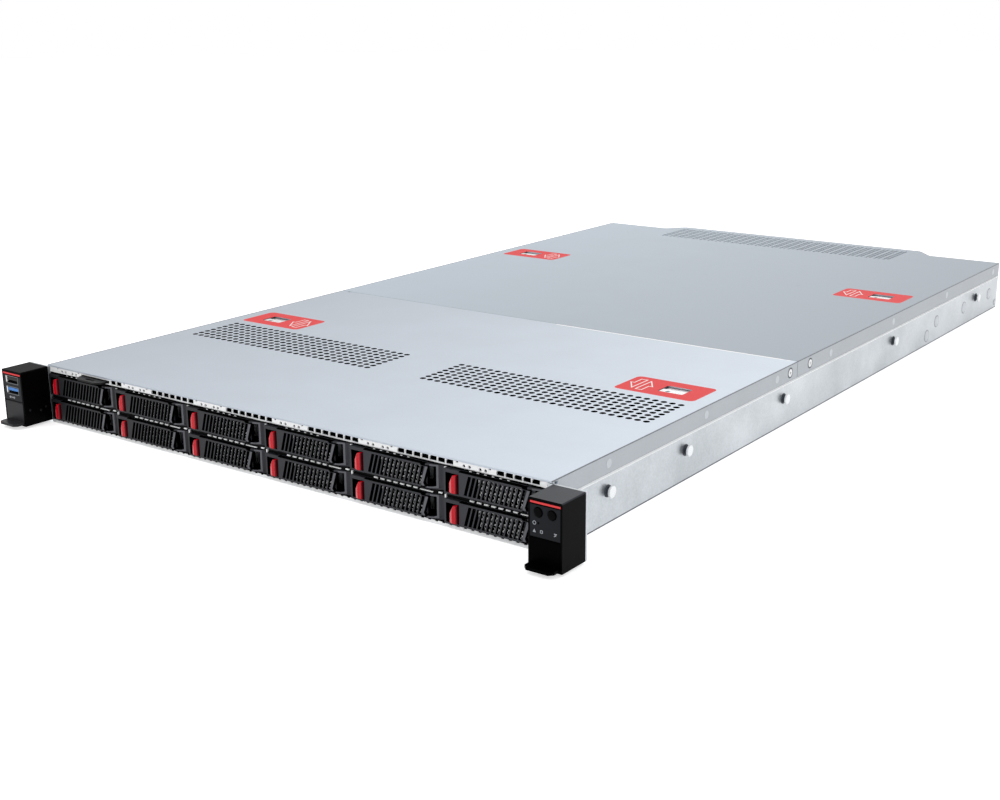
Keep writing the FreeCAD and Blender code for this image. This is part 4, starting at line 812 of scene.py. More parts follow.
class SERVER_OT_case(DressOperator, bpy.types.Operator):
    """Finish the base pan and set the rivets, screws and pressed marks of its flanks"""
    bl_idname = "server.case"
    bl_label = "Case"

    FASTENER_Z = 37
    RIVETS = {"front": (59, 177, 281), "rear": (372.5, 498, 624, 752.5)}
    SCREWS = {"front": (302,), "rear": (335.5,)}
    SCREW = ((2.9, 0), (2.9, 0.15), (2.4, 0.35), (1.1, 0.35), (0.8, 0.05))
    WELL = ((3.9, -0.02), (3.9, 0.05))
    BUMPS = ((580, 8.5, 4.8), (602.5, 17.3, 4.8), (674, 16.5, 5.0), (745, 17, 4.8), (765, 5.5, 2.4))
    DOME = ((1, -0.2), (0.97, 0.15), (0.75, 0.4), (0.3, 0.5))
    STUDS = (58, 150.5, 292.5, 500, 706)
    STUD_Z = 20.4
    COLLAR = ((3.9, -0.2), (3.8, 0.3), (3.2, 0.6), (2.5, 0.65))
    NECK = ((2.35, 0.5), (2.35, 2.5))
    HEAD = ((2.6, 2.3), (3.75, 2.45), (3.85, 2.9), (3.75, 3.55), (3.3, 3.62))
    SHOULDER = ((-0.4, 30.9), (0.15, 30.9), (1.1, 30.35), (1.1, 29.95), (-0.4, 29.3))
    WALL_FRONT, WALL_BACK = 1.6, DEPTH - 0.5

    def execute(self, context):
        paint_node("chassis_base", "case_steel")
        for cover in LATCHES:
            self.add_fasteners(cover)
        body = body_of("chassis_base")
        self.add_bumps(body)
        self.add_studs(body)
        self.add_shoulders(body)
        self.add_fold(body)
        return {"FINISHED"}

    def add_fasteners(self, cover):
        """Flush rivets and a screw in its well on each flange of a cover."""
        radius = self.sizes.rivet_radius / MM
        rivet = ((radius, 0), (radius, 0.12), (radius - 0.25, 0.2))
        for name, side in SIDES:
            # The screw heads are near white as a painted highlight; their wells are flat dark discs, painted
            # shade round each head.
            for kind, profile, rows, finish in (("rivets", rivet, self.RIVETS, "rivet_zinc"),
                                                ("flange_screws", self.SCREW, self.SCREWS, "steel_highlight"),
                                                ("screw_wells", self.WELL, self.SCREWS, "fold_shade")):
                head = add_turned(bmesh.new(), (0, 0), [(r, side * out) for r, out in profile], 0)
                places = [(side * FLANK, y, self.FASTENER_Z) for y in rows[cover]]
                repeated(f"{cover}_{kind}_{name}", head, places, finish, body_of(f"{cover}_cover"))

    def add_bumps(self, body):
        """Pressed bumps of the side walls, each with a dark grey ring round it, painted as shade."""
        bm, rims = bmesh.new(), bmesh.new()
        for side in (-1, 1):
            for y, z, radius in self.BUMPS:
                face = side * FLANK
                add_turned(bm, (y, z), [(radius * share, face + side * out) for share, out in self.DOME], 0)
                rim = radius + 0.5
                add_turned(rims, (y, z), [(rim, face - side * 0.2), (rim, face + side * PROUD)], 0)
        add_piece("pressed_bumps", bm, "rivet_zinc", body)
        add_piece("pressed_bump_rims", rims, "fold_painted_shade", body)

    def add_studs(self, body):
        """Shouldered rail studs: a riveted collar on the wall and a flat turned head; the collar and neck are
        painted dark as the shade round the head.
        """
        for name, profile, finish, slot in (("collars", self.COLLAR, "fold_shade", None),
                                            ("necks", self.NECK, "fold_shade", None),
                                            ("heads", self.HEAD, "stud_steel", "steel")):
            bm = bmesh.new()
            for side in (-1, 1):
                for y in self.STUDS:
                    add_turned(bm, (y, self.STUD_Z), [(r, side * (FLANK + out)) for r, out in profile], 0)
            add_piece(f"rail_stud_{name}", bm, finish, body)

    def add_shoulders(self, body):
        """Rolled shoulder of the side walls under the cover flanges; its near-white tone is a painted
        highlight where it catches the light.
        """
        for name, side in SIDES:
            outline = [(side * (FLANK + out), z) for out, z in self.SHOULDER]
            shoulder = add_prism(bmesh.new(), outline, self.WALL_FRONT, self.WALL_BACK, 1)
            add_piece(f"wall_shoulder_{name}", shoulder, "steel_highlight", body)

    def add_fold(self, body):
        """Outer fold between the floor and the side walls, painted dark as the shade along the foot of the
        wall.
        """
        wall = (self.WALL_FRONT, self.WALL_BACK)
        fold = add_pair(bmesh.new(), (FLANK - 1, FLANK + PROUD), wall, (0.02, 0.75))
        add_piece("base_fold", fold, "fold_shade", body)


# ------------------------------------------------------------------ drive bays

class SERVER_OT_bays(DressOperator, bpy.types.Operator):
    """Finish the drive cage, its pierced front strip and the backplane"""
    bl_idname = "server.bays"
    bl_label = "Drive bays"

    STRIP_LOW, STRIP_HIGH = 38.3, 41.9
    SHEET_BACK = 1.05
    WINDOW, WINDOW_PITCH, WINDOW_FIRST = 4.8, 6.05, 37.05
    WINDOWS = 7
    HOLES, HOLE_RADIUS, HOLE_Z = (13.5, 17.5, 25.1, 28.9), 0.95, 40.0
    NICKS, NICK_HALF, NICK_LOW = (8.6, 31.9), 0.8, 41.1
    GAP_LOW = 37.0
    CUT_FRONT, CUT_BACK = -1, 1.5
    WEBS, WEB, WEB_PITCH, WEB_FIRST = 7, 3.0, 5.1, 17.3
    TABS, TAB, TAB_PITCH, TAB_FIRST = 6, 1.6, 5.3, 17.0
    SCALLOP = ((0, 2.5), (-0.5, 1.9), (-2.1, 1.9), (-2.6, 2.5))

    def execute(self, context):
        paint_node("drive_backplane", "board_green")
        body = body_of("drive_cage")
        cage = new_object("drive_cage_sheet", merged_copy("drive_cage"))
        carve(cage, self.strip_cuts())
        # Painted shade: the cage's sheet is black, only its front strip keeps bright steel.
        finish_piece(cage, "cage_shade_black", body, 32)
        add_finish(cage, "strip_steel", lambda at, normal: at.z > self.STRIP_LOW and at.y < self.SHEET_BACK)
        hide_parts("drive_cage")
        add_piece("bare_steel_webs", self.bright_marks(), "strip_steel", body)
        add_piece("base_front_lip", self.front_lip(), "strip_steel", body_of("chassis_base"))
        return {"FINISHED"}

    def strip_cuts(self):
        """Windows open to the cover, small holes, nicks and the shadow gap under the strip."""
        bm = bmesh.new()
        front, back = self.CUT_FRONT, self.CUT_BACK
        for column in range(len(COLUMNS)):
            left = BAY_EDGE + BAY_PITCH * column
            first, last = (5 if column == 0 else 0), (5 if column == len(COLUMNS) - 1 else self.WINDOWS)
            for index in range(first, last):
                x = left + self.WINDOW_FIRST + self.WINDOW_PITCH * index
                add_box(bm, (x, front, self.STRIP_LOW + 0.75), (x + self.WINDOW, back, self.STRIP_HIGH + 0.5))
            for x in self.HOLES:
                add_turned(bm, (left + x, self.HOLE_Z), [(self.HOLE_RADIUS, y) for y in (front, back)], 1, 12)
            for x in self.NICKS:
                add_box(bm, (left + x - self.NICK_HALF, front, self.NICK_LOW),
                        (left + x + self.NICK_HALF, back, self.STRIP_HIGH + 0.5))
        low, high = low_high("drive_cage")
        return add_box(bm, (low.x + 1.5, front, self.GAP_LOW), (high.x - 1.5, 0.8, self.STRIP_LOW))

    def bright_marks(self):
        """Bare steel webs that show between the rows and above the upper row."""
        bm = bmesh.new()
        back = self.SHEET_BACK
        for column in range(len(COLUMNS)):
            left = BAY_EDGE + BAY_PITCH * column
            for index in range(self.WEBS):
                x = left + self.WEB_FIRST + self.WEB_PITCH * index
                add_box(bm, (x, 0.1, 19.2), (x + self.WEB, back, 20.1))
            add_box(bm, (left + 53, 0.1, 19.2), (left + 62.5, back, 19.75))
            add_box(bm, (left + 66.8, 0.1, 19.8), (left + 69.4, back, 20.5))
            for index in range(self.TABS):
                x = left + self.TAB_FIRST + self.TAB_PITCH * index
                add_box(bm, (x, 0.5, 37.1), (x + self.TAB, 0.85, 37.6))
            if column:
                add_box(bm, (left - 0.6, -0.2, 17.6), (left + 0.4, back, 20.2))
                add_box(bm, (left - 0.7, -0.2, 35.9), (left + 0.5, back, 37.0))
        return bm

    def front_lip(self):
        """Turned-up front edge of the base pan with its scallops."""
        low, high = low_high("drive_cage")
        left, right, lip = low.x + 0.5, high.x - 0.5, self.SCALLOP[0][1]
        outline = [(left, 0.1), (right, 0.1), (right, lip)]
        x = high.x - 4
        while x > low.x + 6:
            outline += [(x + out, z) for out, z in self.SCALLOP]
            x -= self.TAB_PITCH
        return add_prism(bmesh.new(), outline + [(left, lip)], -0.3, 0.05, 1)


class SERVER_OT_carriers(DressOperator, bpy.types.Operator):
    """Round the drive carriers, levers and release buttons and fit their mesh screens"""
    bl_idname = "server.carriers"
    bl_label = "Drive carriers"

    LEVER_FACE = -2.2
    SLOTS_FROM = 12
    FACE = -1.7
    RAILS_FROM = 9.2
    HOLLOW = (0.5, 0.2, 68.2, 15.1)
    POCKET_FROM, POCKET_BACK = 60.8, 4
    SLOPE_FROM, SLOPE_RATE = 58.2, 4 / 12.9
    CORNER = ((-1, -5.4), (0, -5.2), (3.3, 0), (3.3, 1), (-1, 1))
    BAND = ((60.9, 13.7), (59.1, 13.7), (55.7, 3.4), (56.6, 1.6), (58.3, 1.6), (57.4, 3.3))
    RIM = ((59.5, 0.4), (66.6, 0.9), (66.6, 15.1), (61.3, 15.1), (61.3, 14.1), (65.3, 14.1), (65.3, 2.1),
           (62.9, 1.25), (59.5, 1.25))
    FILLER = ((66.5, 1.0), (68.1, 1.2), (68.1, 14.4), (66.5, 14.4))
    SCREEN = (24, 1.4, 54.9, 13.9)
    SCREEN_BACK = LEVER_FACE + 1.95
    MESH_MIDDLE = (41, 7.6)
    MESH_PITCH = 2.7

    def execute(self, context):
        edge = self.sizes.edge_round / MM
        for row in ROWS:
            for column in COLUMNS:
                label = f"{row}_{column}"
                low, _ = low_high(f"carrier_{label}")
                self.make_carrier(label, edge, low.x, low.z)
                self.make_lever(label, edge, low.x, low.z)
                self.add_rim(label, low.x, low.z)
                self.make_button(label)
        return {"FINISHED"}

    def make_button(self, label):
        """Release button: its upper left corner is cut off; its slanted left side gets a painted highlight
        and its right side painted shade.
        """
        node = f"release_button_{label}"
        low, high = low_high(node)
        cap = new_object(f"release_cap_{label}", merged_copy(node, True))
        corner = [(low.x + x, high.z + z) for x, z in self.CORNER]
        carve(cap, add_prism(bmesh.new(), corner, low.y - 1, high.y + 1, 1))
        soften(cap, 0.25, 2, 20)
        finish_piece(cap, "release_red", body_of(node), 60)
        # Painted highlight on the slanted left faces, painted shade on the right side.
        add_finish(cap, "release_highlight", lambda at, normal: normal.x < -0.2 and normal.y < -0.2)
        add_finish(cap, "release_shade", lambda at, normal: normal.x > 0.5)
        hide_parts(node)

    def make_lever(self, label, edge, left, bottom):
        """Lever with dark slots, the screen behind them and its grey band."""
        node = f"lever_{label}"
        body = body_of(node)
        lever = new_object(f"lever_shell_{label}", merged_copy(node, True))
        soften(lever, edge * 0.4)
        finish_piece(lever, "lever_black", body)
        inner = self.LEVER_FACE + 0.4
        add_finish(lever, "hollow_black", lambda at, normal: at.y > inner and at.x > left + self.SLOTS_FROM
                   and normal.y > -0.5)
        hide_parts(node)
        self.add_screen(label, body, left, bottom)
        band = [(left + x, bottom + z) for x, z in self.BAND]
        add_piece(f"lever_band_{label}", add_prism(bmesh.new(), band, self.LEVER_FACE - 0.12,
                                                   self.LEVER_FACE + 0.1, 1), "frame_grey", body)

    def add_screen(self, label, body, left, bottom):
        """Pierced bright screen that closes the slots from behind; every other row of holes is shifted. The
        steel mesh is near white as a painted highlight.
        """
        x0, z0, x1, z1 = self.SCREEN
        sheet = add_box(bmesh.new(), (left + x0, self.SCREEN_BACK, bottom + z0),
                        (left + x1, self.SCREEN_BACK + 0.15, bottom + z1))
        screen = new_object(f"lever_screen_{label}", sheet)
        pitch = self.MESH_PITCH * MM
        x, z = self.MESH_MIDDLE
        for across, up in ((13, 5), (12, 4)):
            grow(screen, perforation_tree, columns=across, rows=up, width=(across - 1) * pitch,
                 depth=(up - 1) * pitch, radius=0.9 * MM, through=1 * MM, sides=8,
                 centre=((left + x) * MM, self.SCREEN_BACK * MM, (bottom + z) * MM),
                 turn=(math.pi / 2, 0, 0), material=FINISH["steel_highlight"])
        finish_piece(screen, None, body)

    def make_carrier(self, label, edge, left, bottom):
        """A carrier's shell and the drive in it, which are separate solids of one node."""
        node = f"carrier_{label}"
        whole = merged_copy(node, True)
        front = {v.index for v in min(loose_parts(whole), key=lambda verts: min(v.co.y for v in verts))}
        shell = self.part_of(whole, front, True, f"carrier_shell_{label}")
        soften(shell, edge)
        finish_piece(shell, "carrier_black", body_of(node))
        x0, z0, x1, z1 = self.HOLLOW
        add_finish(shell, "case_steel", lambda at, normal: at.y > self.RAILS_FROM)
        add_finish(shell, "hollow_black", lambda at, normal: self.FACE + 0.5 < at.y < 9 and
                   left + x0 < at.x < left + x1 and bottom + z0 < at.z < bottom + z1 and
                   (at.x < left + self.POCKET_FROM or at.y > self.POCKET_BACK or normal.y > -0.6))
        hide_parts(node)
        drive = self.part_of(whole, front, False, f"drive_case_{label}")
        soften(drive, 0.4)
        finish_piece(drive, "case_aluminium", body_of(node))
        whole.free()

    def part_of(self, whole, chosen, keep, name):
        """The chosen vertices of a bmesh, or all the others, as an object."""
        bm = whole.copy()
        bm.verts.index_update()
        bmesh.ops.delete(bm, geom=[v for v in bm.verts if (v.index in chosen) != keep], context="VERTS")
        return new_object(name, bm)

    def add_rim(self, label, left, bottom):
        """Raised grey rim round the open pocket; it leans back with the bezel's slope. It stops short
        of the lever, whose end swings through the pocket's left side."""
        for name, outline, sink, finish in (("rim", self.RIM, 0.2, "frame_grey"),
                                            ("side", self.FILLER, 0, "carrier_black")):
            bm = add_prism(bmesh.new(), [(left + x, bottom + z) for x, z in outline],
                           self.FACE - sink, self.FACE + 0.5, 1)
            for vert in bm.verts:
                vert.co.y += max(0, vert.co.x - (left + self.SLOPE_FROM) * MM) * self.SLOPE_RATE
            add_piece(f"pocket_{name}_{label}", bm, finish, body_of(f"carrier_{label}"))


# ------------------------------------------------------------------ ears

class SERVER_OT_ears(DressOperator, bpy.types.Operator):
    """Round the rack ears, their flaps and keys, and print their marks"""
    bl_idname = "server.ears"
    bl_label = "Rack ears"

    FRONT = -22.8
    SKIN = 0.06
    INK = 0.05
    EAR_INNER, EAR_OUTER = 220.5, 240.1
    PANEL_LOW, PANEL_HIGH = 19.6, 37.7
    STRIP_LOW, STRIP_HIGH = 38.5, 39.6
    KEYS_X, KEY_Z, KEY_RADIUS = (225.9, 234.7), 33.7, 3.05
    SOCKET_LEFT, SOCKET_RIGHT, SOCKET_HALF = -237.2, -223.4, 3.0
    SOCKETS = (("upper", 34.6, "port_black"), ("lower", 26.8, "port_blue"))
    RING = (223.4, 27.4)
    TRIANGLE = ((222.4, 22.0), (224.4, 22.0), (223.9, 23.0), (223.4, 23.9), (222.9, 23.0))
    PINHOLE = (226.0, 27.6)
    BARS = ((236.1, 23.3, 237.9, 23.9), (236.6, 22.4, 237.4, 23.2), (236.1, 22.0, 236.5, 22.7))
    ARROW = ((-233.6, 21.4), (-230.0, 21.4), (-230.0, 20.7), (-228.4, 21.7), (-230.0, 22.7),
             (-230.0, 22.0), (-233.6, 22.0))
    SCREW = ((0.9, 0), (0.9, 0.15), (0.7, 0.3), (0.4, 0.3), (0.3, 0.1))
    SCREWS = ((-219.3, -9, 11), (-219.3, -4.5, 12.5), (-219.3, -18, 13))

    def execute(self, context):
        for name, side in SIDES:
            self.make_ear(name, side)
            node = f"{name}_ear_flap"
            flap = soften(new_object(f"{node}_shell", merged_copy(node, True)), 0.2)
            # The left flap gets a lighter black than the right one.
            finish_piece(flap, "flap_lighter" if side < 0 else "flap_black", body_of(node))
            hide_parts(node)
        for node in ("power_button", "locate_button"):
            cap = soften(new_object(f"{node}_cap", merged_copy(node)), 0.3, 3, 50)
            finish_piece(cap, "key_black", body_of(node), 50)
            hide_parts(node)
        # The socket shells are dark steel: painted shade in their recess.
        paint_node("usb_ports", "port_steel")
        paint_node("rack_screws", "screw_steel")
        self.print_right_marks(body_of("right_ear"))
        self.print_left_marks(body_of("left_ear"))
        self.add_sockets(body_of("left_ear"))
        return {"FINISHED"}

    def make_ear(self, name, side):
        """One ear with its dark front panel, which leaves the keys or sockets free, and its red strip."""
        body = body_of(f"{name}_ear")
        ear = soften(new_object(f"{name}_ear_shell", merged_copy(f"{name}_ear", True)), 0.3)
        finish_piece(ear, "ear_black", body)
        # Painted light: the right ear's upward faces get a lighter copy of its black.
        if side > 0:
            add_finish(ear, "ear_top_painted_light", lambda at, normal: normal.z > 0.6 and at.z > 40)
        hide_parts(f"{name}_ear")
        left, right = sorted((side * self.EAR_INNER, side * self.EAR_OUTER))
        outline = rectangle(left + 0.1, self.PANEL_LOW, right - 0.1, self.PANEL_HIGH)
        skin = new_object(f"{name}_ear_panel",
                          add_prism(bmesh.new(), outline, self.FRONT - self.SKIN, self.FRONT + 0.05, 1))
        holes = bmesh.new()
        before, behind = self.FRONT - 1, self.FRONT + 1
        if side > 0:
            for x in self.KEYS_X:
                add_turned(holes, (x, self.KEY_Z), [(self.KEY_RADIUS, y) for y in (before, behind)], 1, 32)
        else:
            for _, z, _ in self.SOCKETS:
                add_prism(holes, rectangle(self.SOCKET_LEFT, z - self.SOCKET_HALF, self.SOCKET_RIGHT,
                                           z + self.SOCKET_HALF), before, behind, 1)
        carve(skin, holes)
        finish_piece(skin, "panel_slate", body)
        strip = add_prism(bmesh.new(), rectangle(left + 0.05, self.STRIP_LOW, right - 0.05, self.STRIP_HIGH),
                          self.FRONT - 0.05, self.FRONT + 1.3, 1)
        add_piece(f"{name}_ear_strip", strip, "label_red", body)

    def mark(self, bm, outline, hole=None, ink=INK):
        """Print one flat mark on an ear's panel, with a hole in it if one is given."""
        face = self.FRONT - self.SKIN
        if hole:
            return add_ring(bm, outline, hole, face - ink, face + 0.01, 1)
        return add_prism(bm, outline, face - ink, face + 0.01, 1)

    def print_right_marks(self, body):
        """Plain marks under the two keys, and a dark pinhole beside the ring."""
        bm = bmesh.new()
        self.mark(bm, circle(self.RING, 1.15, 24), circle(self.RING, 0.75, 24))
        self.mark(bm, self.TRIANGLE)
        self.mark(bm, rounded(227.1, 22.1, 228.9, 23.9, 0.3, 2), rounded(227.5, 22.5, 228.5, 23.5, 0.2, 2))
        for bar in self.BARS:
            self.mark(bm, rectangle(*bar))
        add_piece("right_ear_marks", bm, "mark_white", body)
        pinhole = self.mark(bmesh.new(), circle(self.PINHOLE, 0.65, 16), ink=0.02)
        add_piece("right_ear_pinhole", pinhole, "hollow_black", body)

    def print_left_marks(self, body):
        """Plain arrow mark under the sockets."""
        bm = self.mark(bmesh.new(), self.ARROW)
        self.mark(bm, circle((-234.0, 21.7), 0.85, 12))
        add_piece("left_ear_mark", bm, "mark_white", body)

    def add_sockets(self, body):
        """Tongue, bright edge and contacts of the two sockets in the left ear, and its small screws."""
        front = self.FRONT
        for name, z, finish in self.SOCKETS:
            tongue = add_box(bmesh.new(), (-236.0, front + 0.3, z - 0.2), (-224.6, -10, z + 1.9))
            add_piece(f"usb_tongue_{name}", tongue, finish, body)
            # The socket shell's edge is near white: painted highlight.
            edge = add_box(bmesh.new(), (-237.15, front - 0.1, z - 2.0), (-236.35, front + 1, z + 2.6))
            add_piece(f"usb_edge_{name}", edge, "steel_highlight", body)
            places = [(-234 + 2.5 * i, front + 0.8, z - 0.28) for i in range(4)]
            repeated(f"usb_contacts_{name}", add_box(bmesh.new(), (-0.5, 0, 0), (0.5, 7, 0.08)), places,
                     "contact_gold", body)
        repeated("left_ear_screws", add_turned(bmesh.new(), (0, 0), self.SCREW, 0, 16), self.SCREWS,
                 "panel_slate", body)


# ------------------------------------------------------------------ inside

class SERVER_OT_inside(DressOperator, bpy.types.Operator):
    """Finish the boards, memory, heat sinks, fans and power supplies"""
    bl_idname = "server.inside"
    bl_label = "Inside"

    BOARD = 7.1
    PAINTED = (("memory_modules", "board_green"), ("heat_sinks", "sink_aluminium"),
               ("fan_modules", "fan_black"), ("power_supply_left", "supply_steel"),
               ("power_supply_right", "supply_steel"), ("information_tag", "tag_black"))
    CAN = ((3.1, 0), (3.1, 7.6), (2.7, 8), (0.5, 7.9))
    BATTERY = ((10.4, 0), (10.4, 2.6), (10, 3), (9, 3.1))
    BANKS = (-191, -60, 19, 150)
    MODULE_PITCH = 8.2
    CHIP_FIRST, CHIP_PITCH = 402, 13.4
    FANS, FAN_FACE, FAN_HUB = tuple(52 * (i - 3.5) for i in range(8)), 250, (0, 20.45)
    GUARDS = (16.5, 11.5, 6.5)
    PORTS = tuple(-112 + 24 * i for i in range(5))
    PORTS_BACK = 787.5
    PINS = ((12, 14), (18, 19), (24, 14))

    def execute(self, context):
        for node, finish in self.PAINTED:
            paint_node(node, finish)
        body = body_of("system_board")
        board = new_object("system_board_dressed", merged_copy("system_board"))
        finish_piece(board, "board_green", body)
        add_finish(board, "port_black", lambda at, normal: at.z > self.BOARD + 0.1)
        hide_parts("system_board")
        self.add_components(body)
        self.add_memory_chips()
        self.add_fan_parts(body_of("fan_modules"))
        self.add_ports(body)
        for name, _ in SIDES:
            self.dress_supply(name)
        return {"FINISHED"}

    def add_components(self, body):
        """Capacitors, chokes, chips, slots, the battery and a heat sink in the board's free zones."""
        sink = add_box(bmesh.new(), (-17, -17, 0), (17, 17, 2))
        for x in range(-16, 17, 4):
            add_box(sink, (x - 0.5, -16, 1.9), (x + 0.5, 16, 12))
        cans = [(x, y) for x in range(-186, 190, 31) for y in (344, 352)]
        cans += [(x, 548) for x in (-170, -158, -146, 146, 158, 170)]
        for name, bm, spots, finish in (
                ("board_capacitors", add_turned(bmesh.new(), (0, 0), self.CAN, 2, 16), cans, "can_aluminium"),
                ("board_chokes", add_box(bmesh.new(), (-5, -5, 0), (5, 5, 6.5)),
                 [(x, 368) for x in range(-174, 180, 12) if abs(abs(x) - 105) < 45], "chip_black"),
                ("board_chips", add_box(bmesh.new(), (-4.5, -4.5, 0), (4.5, 4.5, 1.3)),
                 [(x, y) for x in range(-118, 121, 34) for y in (580, 604, 700, 724)], "chip_black"),
                ("expansion_slots", add_box(bmesh.new(), (-3.7, 0, 0), (3.7, 88, 11)),
                 [(x, 606) for x in (-64, 38)], "port_black"),
                ("board_battery", add_turned(bmesh.new(), (0, 0), self.BATTERY, 2, 32), [(98, 660)],
                 "can_aluminium"),
                ("board_hub_sink", sink, [(-10, 650)], "sink_aluminium")):
            repeated(name, bm, [(x, y, self.BOARD) for x, y in spots], finish, body)

    def add_memory_chips(self):
        """Memory chips on both faces of every module."""
        chip = add_pair(bmesh.new(), (0.65, 1.7), (-4.5, 4.5), (-5.5, 5.5))
        places = [(left + self.MODULE_PITCH * module, self.CHIP_FIRST + self.CHIP_PITCH * index, 28)
                  for left in self.BANKS for module in range(6) for index in range(9)]
        repeated("memory_chips", chip, places, "chip_black", body_of("memory_modules"))

    def add_fan_parts(self, body):
        """Wire guards, pull tabs and top frames of the eight fans."""
        guard = bmesh.new()
        for radius in self.GUARDS:
            wire = (circle(self.FAN_HUB, radius, 32), circle(self.FAN_HUB, radius - 0.9, 32))
            add_ring(guard, *wire, -0.9, -0.1, 1)
        add_box(guard, (-17.6, -1.0, 20.0), (17.6, -0.2, 20.9))
        add_box(guard, (-0.45, -1.0, 2.9), (0.45, -0.2, 38.0))
        tab = soften_prism(rounded(-7, 46, 7, 53, 1.5), 39.6, 41.2)
        frame = bmesh.new()
        add_ring(frame, rectangle(-18.5, 1.5, 18.5, 43), rectangle(-17, 3, 17, 41.5), 39.6, 40.2)
        places = [(x, self.FAN_FACE, 0) for x in self.FANS]
        repeated("fan_guards", guard, places, "port_steel", body)
        repeated("fan_tabs", tab, places, "release_red", body)
        repeated("fan_top_frames", frame, places, "carrier_black", body)

    def add_ports(self, body):
        """Plated shells and dark sockets of the rear connectors."""
        back = self.PORTS_BACK
        shell = add_box(bmesh.new(), (-7.65, 769.2, 7.15), (7.65, back + 0.05, 19.75))
        add_ring(shell, rectangle(-7.6, 7.3, 7.6, 19.7), rectangle(-5.9, 9, 5.9, 18), back, back + 0.8, 1)
        socket = add_box(bmesh.new(), (-6.0, back, 8.9), (6.0, back + 0.25, 18.1))
        places = [(x, 0, 0) for x in self.PORTS]
        repeated("rear_port_shells", shell, places, "latch_steel", body)
        repeated("rear_port_sockets", socket, places, "port_black", body)

    def dress_supply(self, name):
        """Inlet liner, pins, status lamp and latch of one power supply's rear face."""
        node = f"power_supply_{name}"
        body, x, rear = body_of(node), low_high(node)[0].x, DEPTH
        liner = add_ring(bmesh.new(), rectangle(x + 4.05, 5.55, x + 31.95, 26.45),
                         rectangle(x + 6, 7.5, x + 30, 24.5), rear - 14.9, rear + 0.3, 1)
        add_box(liner, (x + 5, rear - 14.95, 6.5), (x + 31, rear - 13.5, 25.5))
        add_piece(f"{node}_inlet", liner, "port_black", body)
        pins = bmesh.new()
        for pin_x, pin_z in self.PINS:
            add_box(pins, (x + pin_x - 1, rear - 13.6, pin_z - 2.8), (x + pin_x + 1, rear - 2, pin_z + 2.8))
        add_piece(f"{node}_pins", pins, "latch_steel", body)
        lamp = ((1.2, rear - 0.5), (1.2, rear + 0.3), (0.7, rear + 0.6))
        add_piece(f"{node}_lamp", add_turned(bmesh.new(), (x + 8, 32), lamp, 1, 16), "lamp_green", body)
        latch = soften_prism(rectangle(x + 14, 29.5, x + 30, 33.5), rear - 0.2, rear + 3.5, 1)
        add_piece(f"{node}_latch", latch, "release_red", body)


# ------------------------------------------------------------------ stage

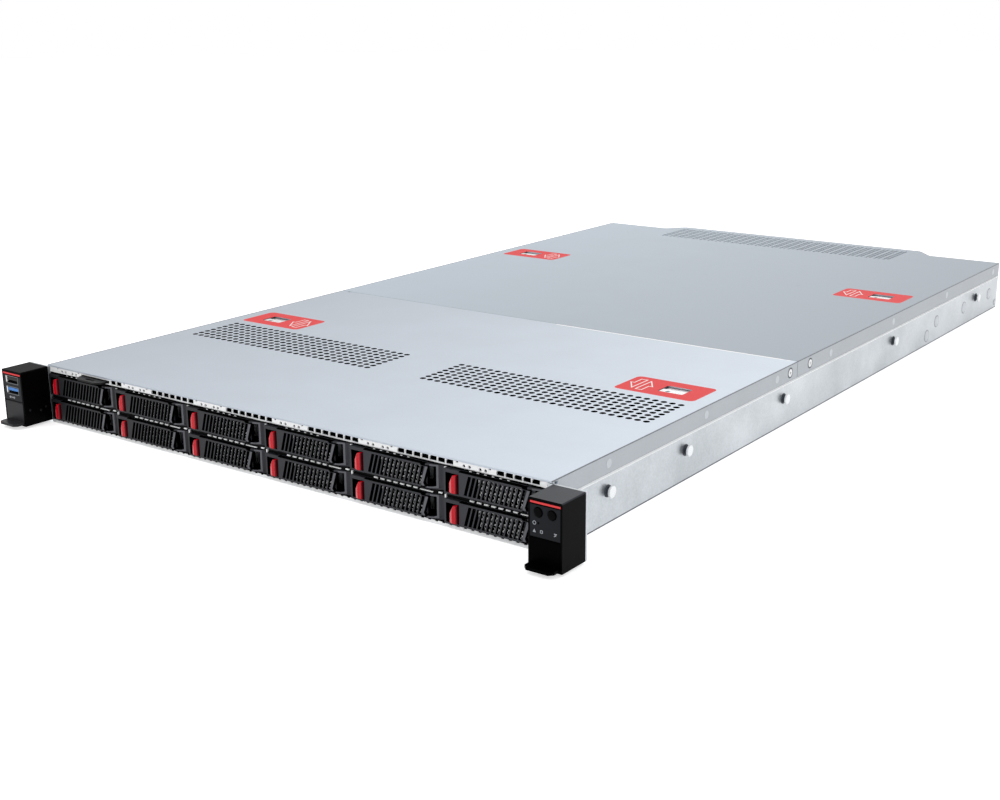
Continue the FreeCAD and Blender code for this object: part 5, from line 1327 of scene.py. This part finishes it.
class SERVER_OT_stage(DressOperator, bpy.types.Operator):
    """Set the pale floor, the soft lights, the world and the camera"""
    bl_idname = "server.stage"
    bl_label = "Stage"

    LAMPS = (
        ("key", (-0.9, -1.9, 2.6), (0, 0.35, 0), 2.2, 30),
        ("rim", (2.6, -0.2, 1.5), (0.1, 0.1, 0), 1.6, 14),
        ("back", (-0.6, 2.9, 2.2), (0, 0.5, 0), 2.0, 16),
    )
    LENS = 50.92
    CAMERA_PLACE = (0.6258, -0.6021, 0.3007)
    CAMERA_TURN = (73.77, 0.37, 36.13)

    def execute(self, context):
        scene = context.scene
        scene.view_settings.view_transform = "Standard"
        self.make_floor()
        self.make_world(scene)
        for name, place, target, size, power in self.LAMPS:
            lamp = bpy.data.lights.new(name, "AREA")
            lamp.size = size
            lamp.energy = power
            light = bpy.data.objects.new(name, lamp)
            light.location = place
            light.rotation_euler = (Vector(target) - Vector(place)).to_track_quat("-Z", "Y").to_euler()
            scene.collection.objects.link(light)
        camera = bpy.data.objects.new("camera", bpy.data.cameras.new("camera"))
        camera.data.lens = self.LENS
        camera.data.sensor_width = 36
        camera.data.clip_start = 0.05
        camera.location = self.CAMERA_PLACE
        camera.rotation_euler = Euler([math.radians(angle) for angle in self.CAMERA_TURN])
        scene.collection.objects.link(camera)
        scene.camera = camera
        return {"FINISHED"}

    def seen(self, tree):
        """1 for rays from the camera, mirrors and glass, 0 for the rest."""
        path = add_node(tree, "ShaderNodeLightPath").outputs
        either = add_node(tree, "ShaderNodeMath", {0: path["Is Camera Ray"], 1: path["Is Glossy Ray"]},
                          operation="MAXIMUM")
        return add_node(tree, "ShaderNodeMath", {0: either.outputs[0], 1: path["Is Transmission Ray"]},
                        operation="MAXIMUM").outputs[0]

    def make_floor(self):
        """Wide pale floor just under the server, which the camera sees near white."""
        floor = new_object("studio_floor", add_prism(bmesh.new(), circle((0, 400), 6000, 48), -6.0, -0.05))
        material, tree, _, fibre = open_material("matt_paper_floor", (3, 2.0))
        colour = add_node(tree, "ShaderNodeMix", {0: fibre},
                          {6: linear("F1F1F2"), 7: linear("F4F4F5")}, data_type="RGBA")
        glow = add_node(tree, "ShaderNodeMath", {0: self.seen(tree)}, {1: 0.6}, operation="MULTIPLY")
        shader = add_node(tree, "ShaderNodeBsdfPrincipled",
                          {"Base Color": colour.outputs[2], "Emission Strength": glow.outputs[0]},
                          {"Roughness": 0.9, "Emission Color": (1, 1, 1, 1)})
        add_node(tree, "ShaderNodeOutputMaterial", {"Surface": shader.outputs[0]})
        floor.data.materials.append(material)

    def make_world(self, scene):
        """World that looks white and lights the server softly."""
        world = bpy.data.worlds.new("soft_studio")
        scene.world = world
        world.use_nodes = True
        tree = world.node_tree
        tree.nodes.clear()
        strength = add_node(tree, "ShaderNodeMapRange", {"Value": self.seen(tree)},
                            {"To Min": 0.6, "To Max": 1.0})
        light = add_node(tree, "ShaderNodeBackground", {"Strength": strength.outputs[0]},
                         {"Color": (1, 1, 1, 1)})
        add_node(tree, "ShaderNodeOutputWorld", {"Surface": light.outputs[0]})


# ------------------------------------------------------------------ panel and run

OPERATORS = (SERVER_OT_covers, SERVER_OT_labels, SERVER_OT_latches, SERVER_OT_case, SERVER_OT_bays,
             SERVER_OT_carriers, SERVER_OT_ears, SERVER_OT_inside, SERVER_OT_stage)


class SERVER_PT_panel(bpy.types.Panel):
    """Shows the server's settings and the buttons of its operators"""
    bl_idname = "SERVER_PT_panel"
    bl_label = "Rack server"
    bl_space_type = "VIEW_3D"
    bl_region_type = "UI"
    bl_category = "Server"

    def draw(self, context):
        for group in (context.scene.server_look, context.scene.server_sizes):
            for name in group.__annotations__:
                self.layout.prop(group, name)
        for operator in OPERATORS:
            self.layout.operator(operator.bl_idname)


CLASSES = (ServerLook, ServerSizes) + OPERATORS + (SERVER_PT_panel,)


def register():
    """Register the add-on's classes and its settings."""
    for item in CLASSES:
        bpy.utils.register_class(item)
    bpy.types.Scene.server_look = bpy.props.PointerProperty(type=ServerLook)
    bpy.types.Scene.server_sizes = bpy.props.PointerProperty(type=ServerSizes)


def unregister():
    """Take the add-on out again."""
    del bpy.types.Scene.server_sizes
    del bpy.types.Scene.server_look
    for item in reversed(CLASSES):
        bpy.utils.unregister_class(item)


def main():
    """Dress the server, one operator after another."""
    register()
    make_finishes(bpy.context.scene.server_look)
    bpy.ops.server.covers()
    bpy.ops.server.labels()
    bpy.ops.server.latches()
    bpy.ops.server.case()
    bpy.ops.server.bays()
    bpy.ops.server.carriers()
    bpy.ops.server.ears()
    bpy.ops.server.inside()
    bpy.ops.server.stage()


if __name__ == "__main__":
    main()
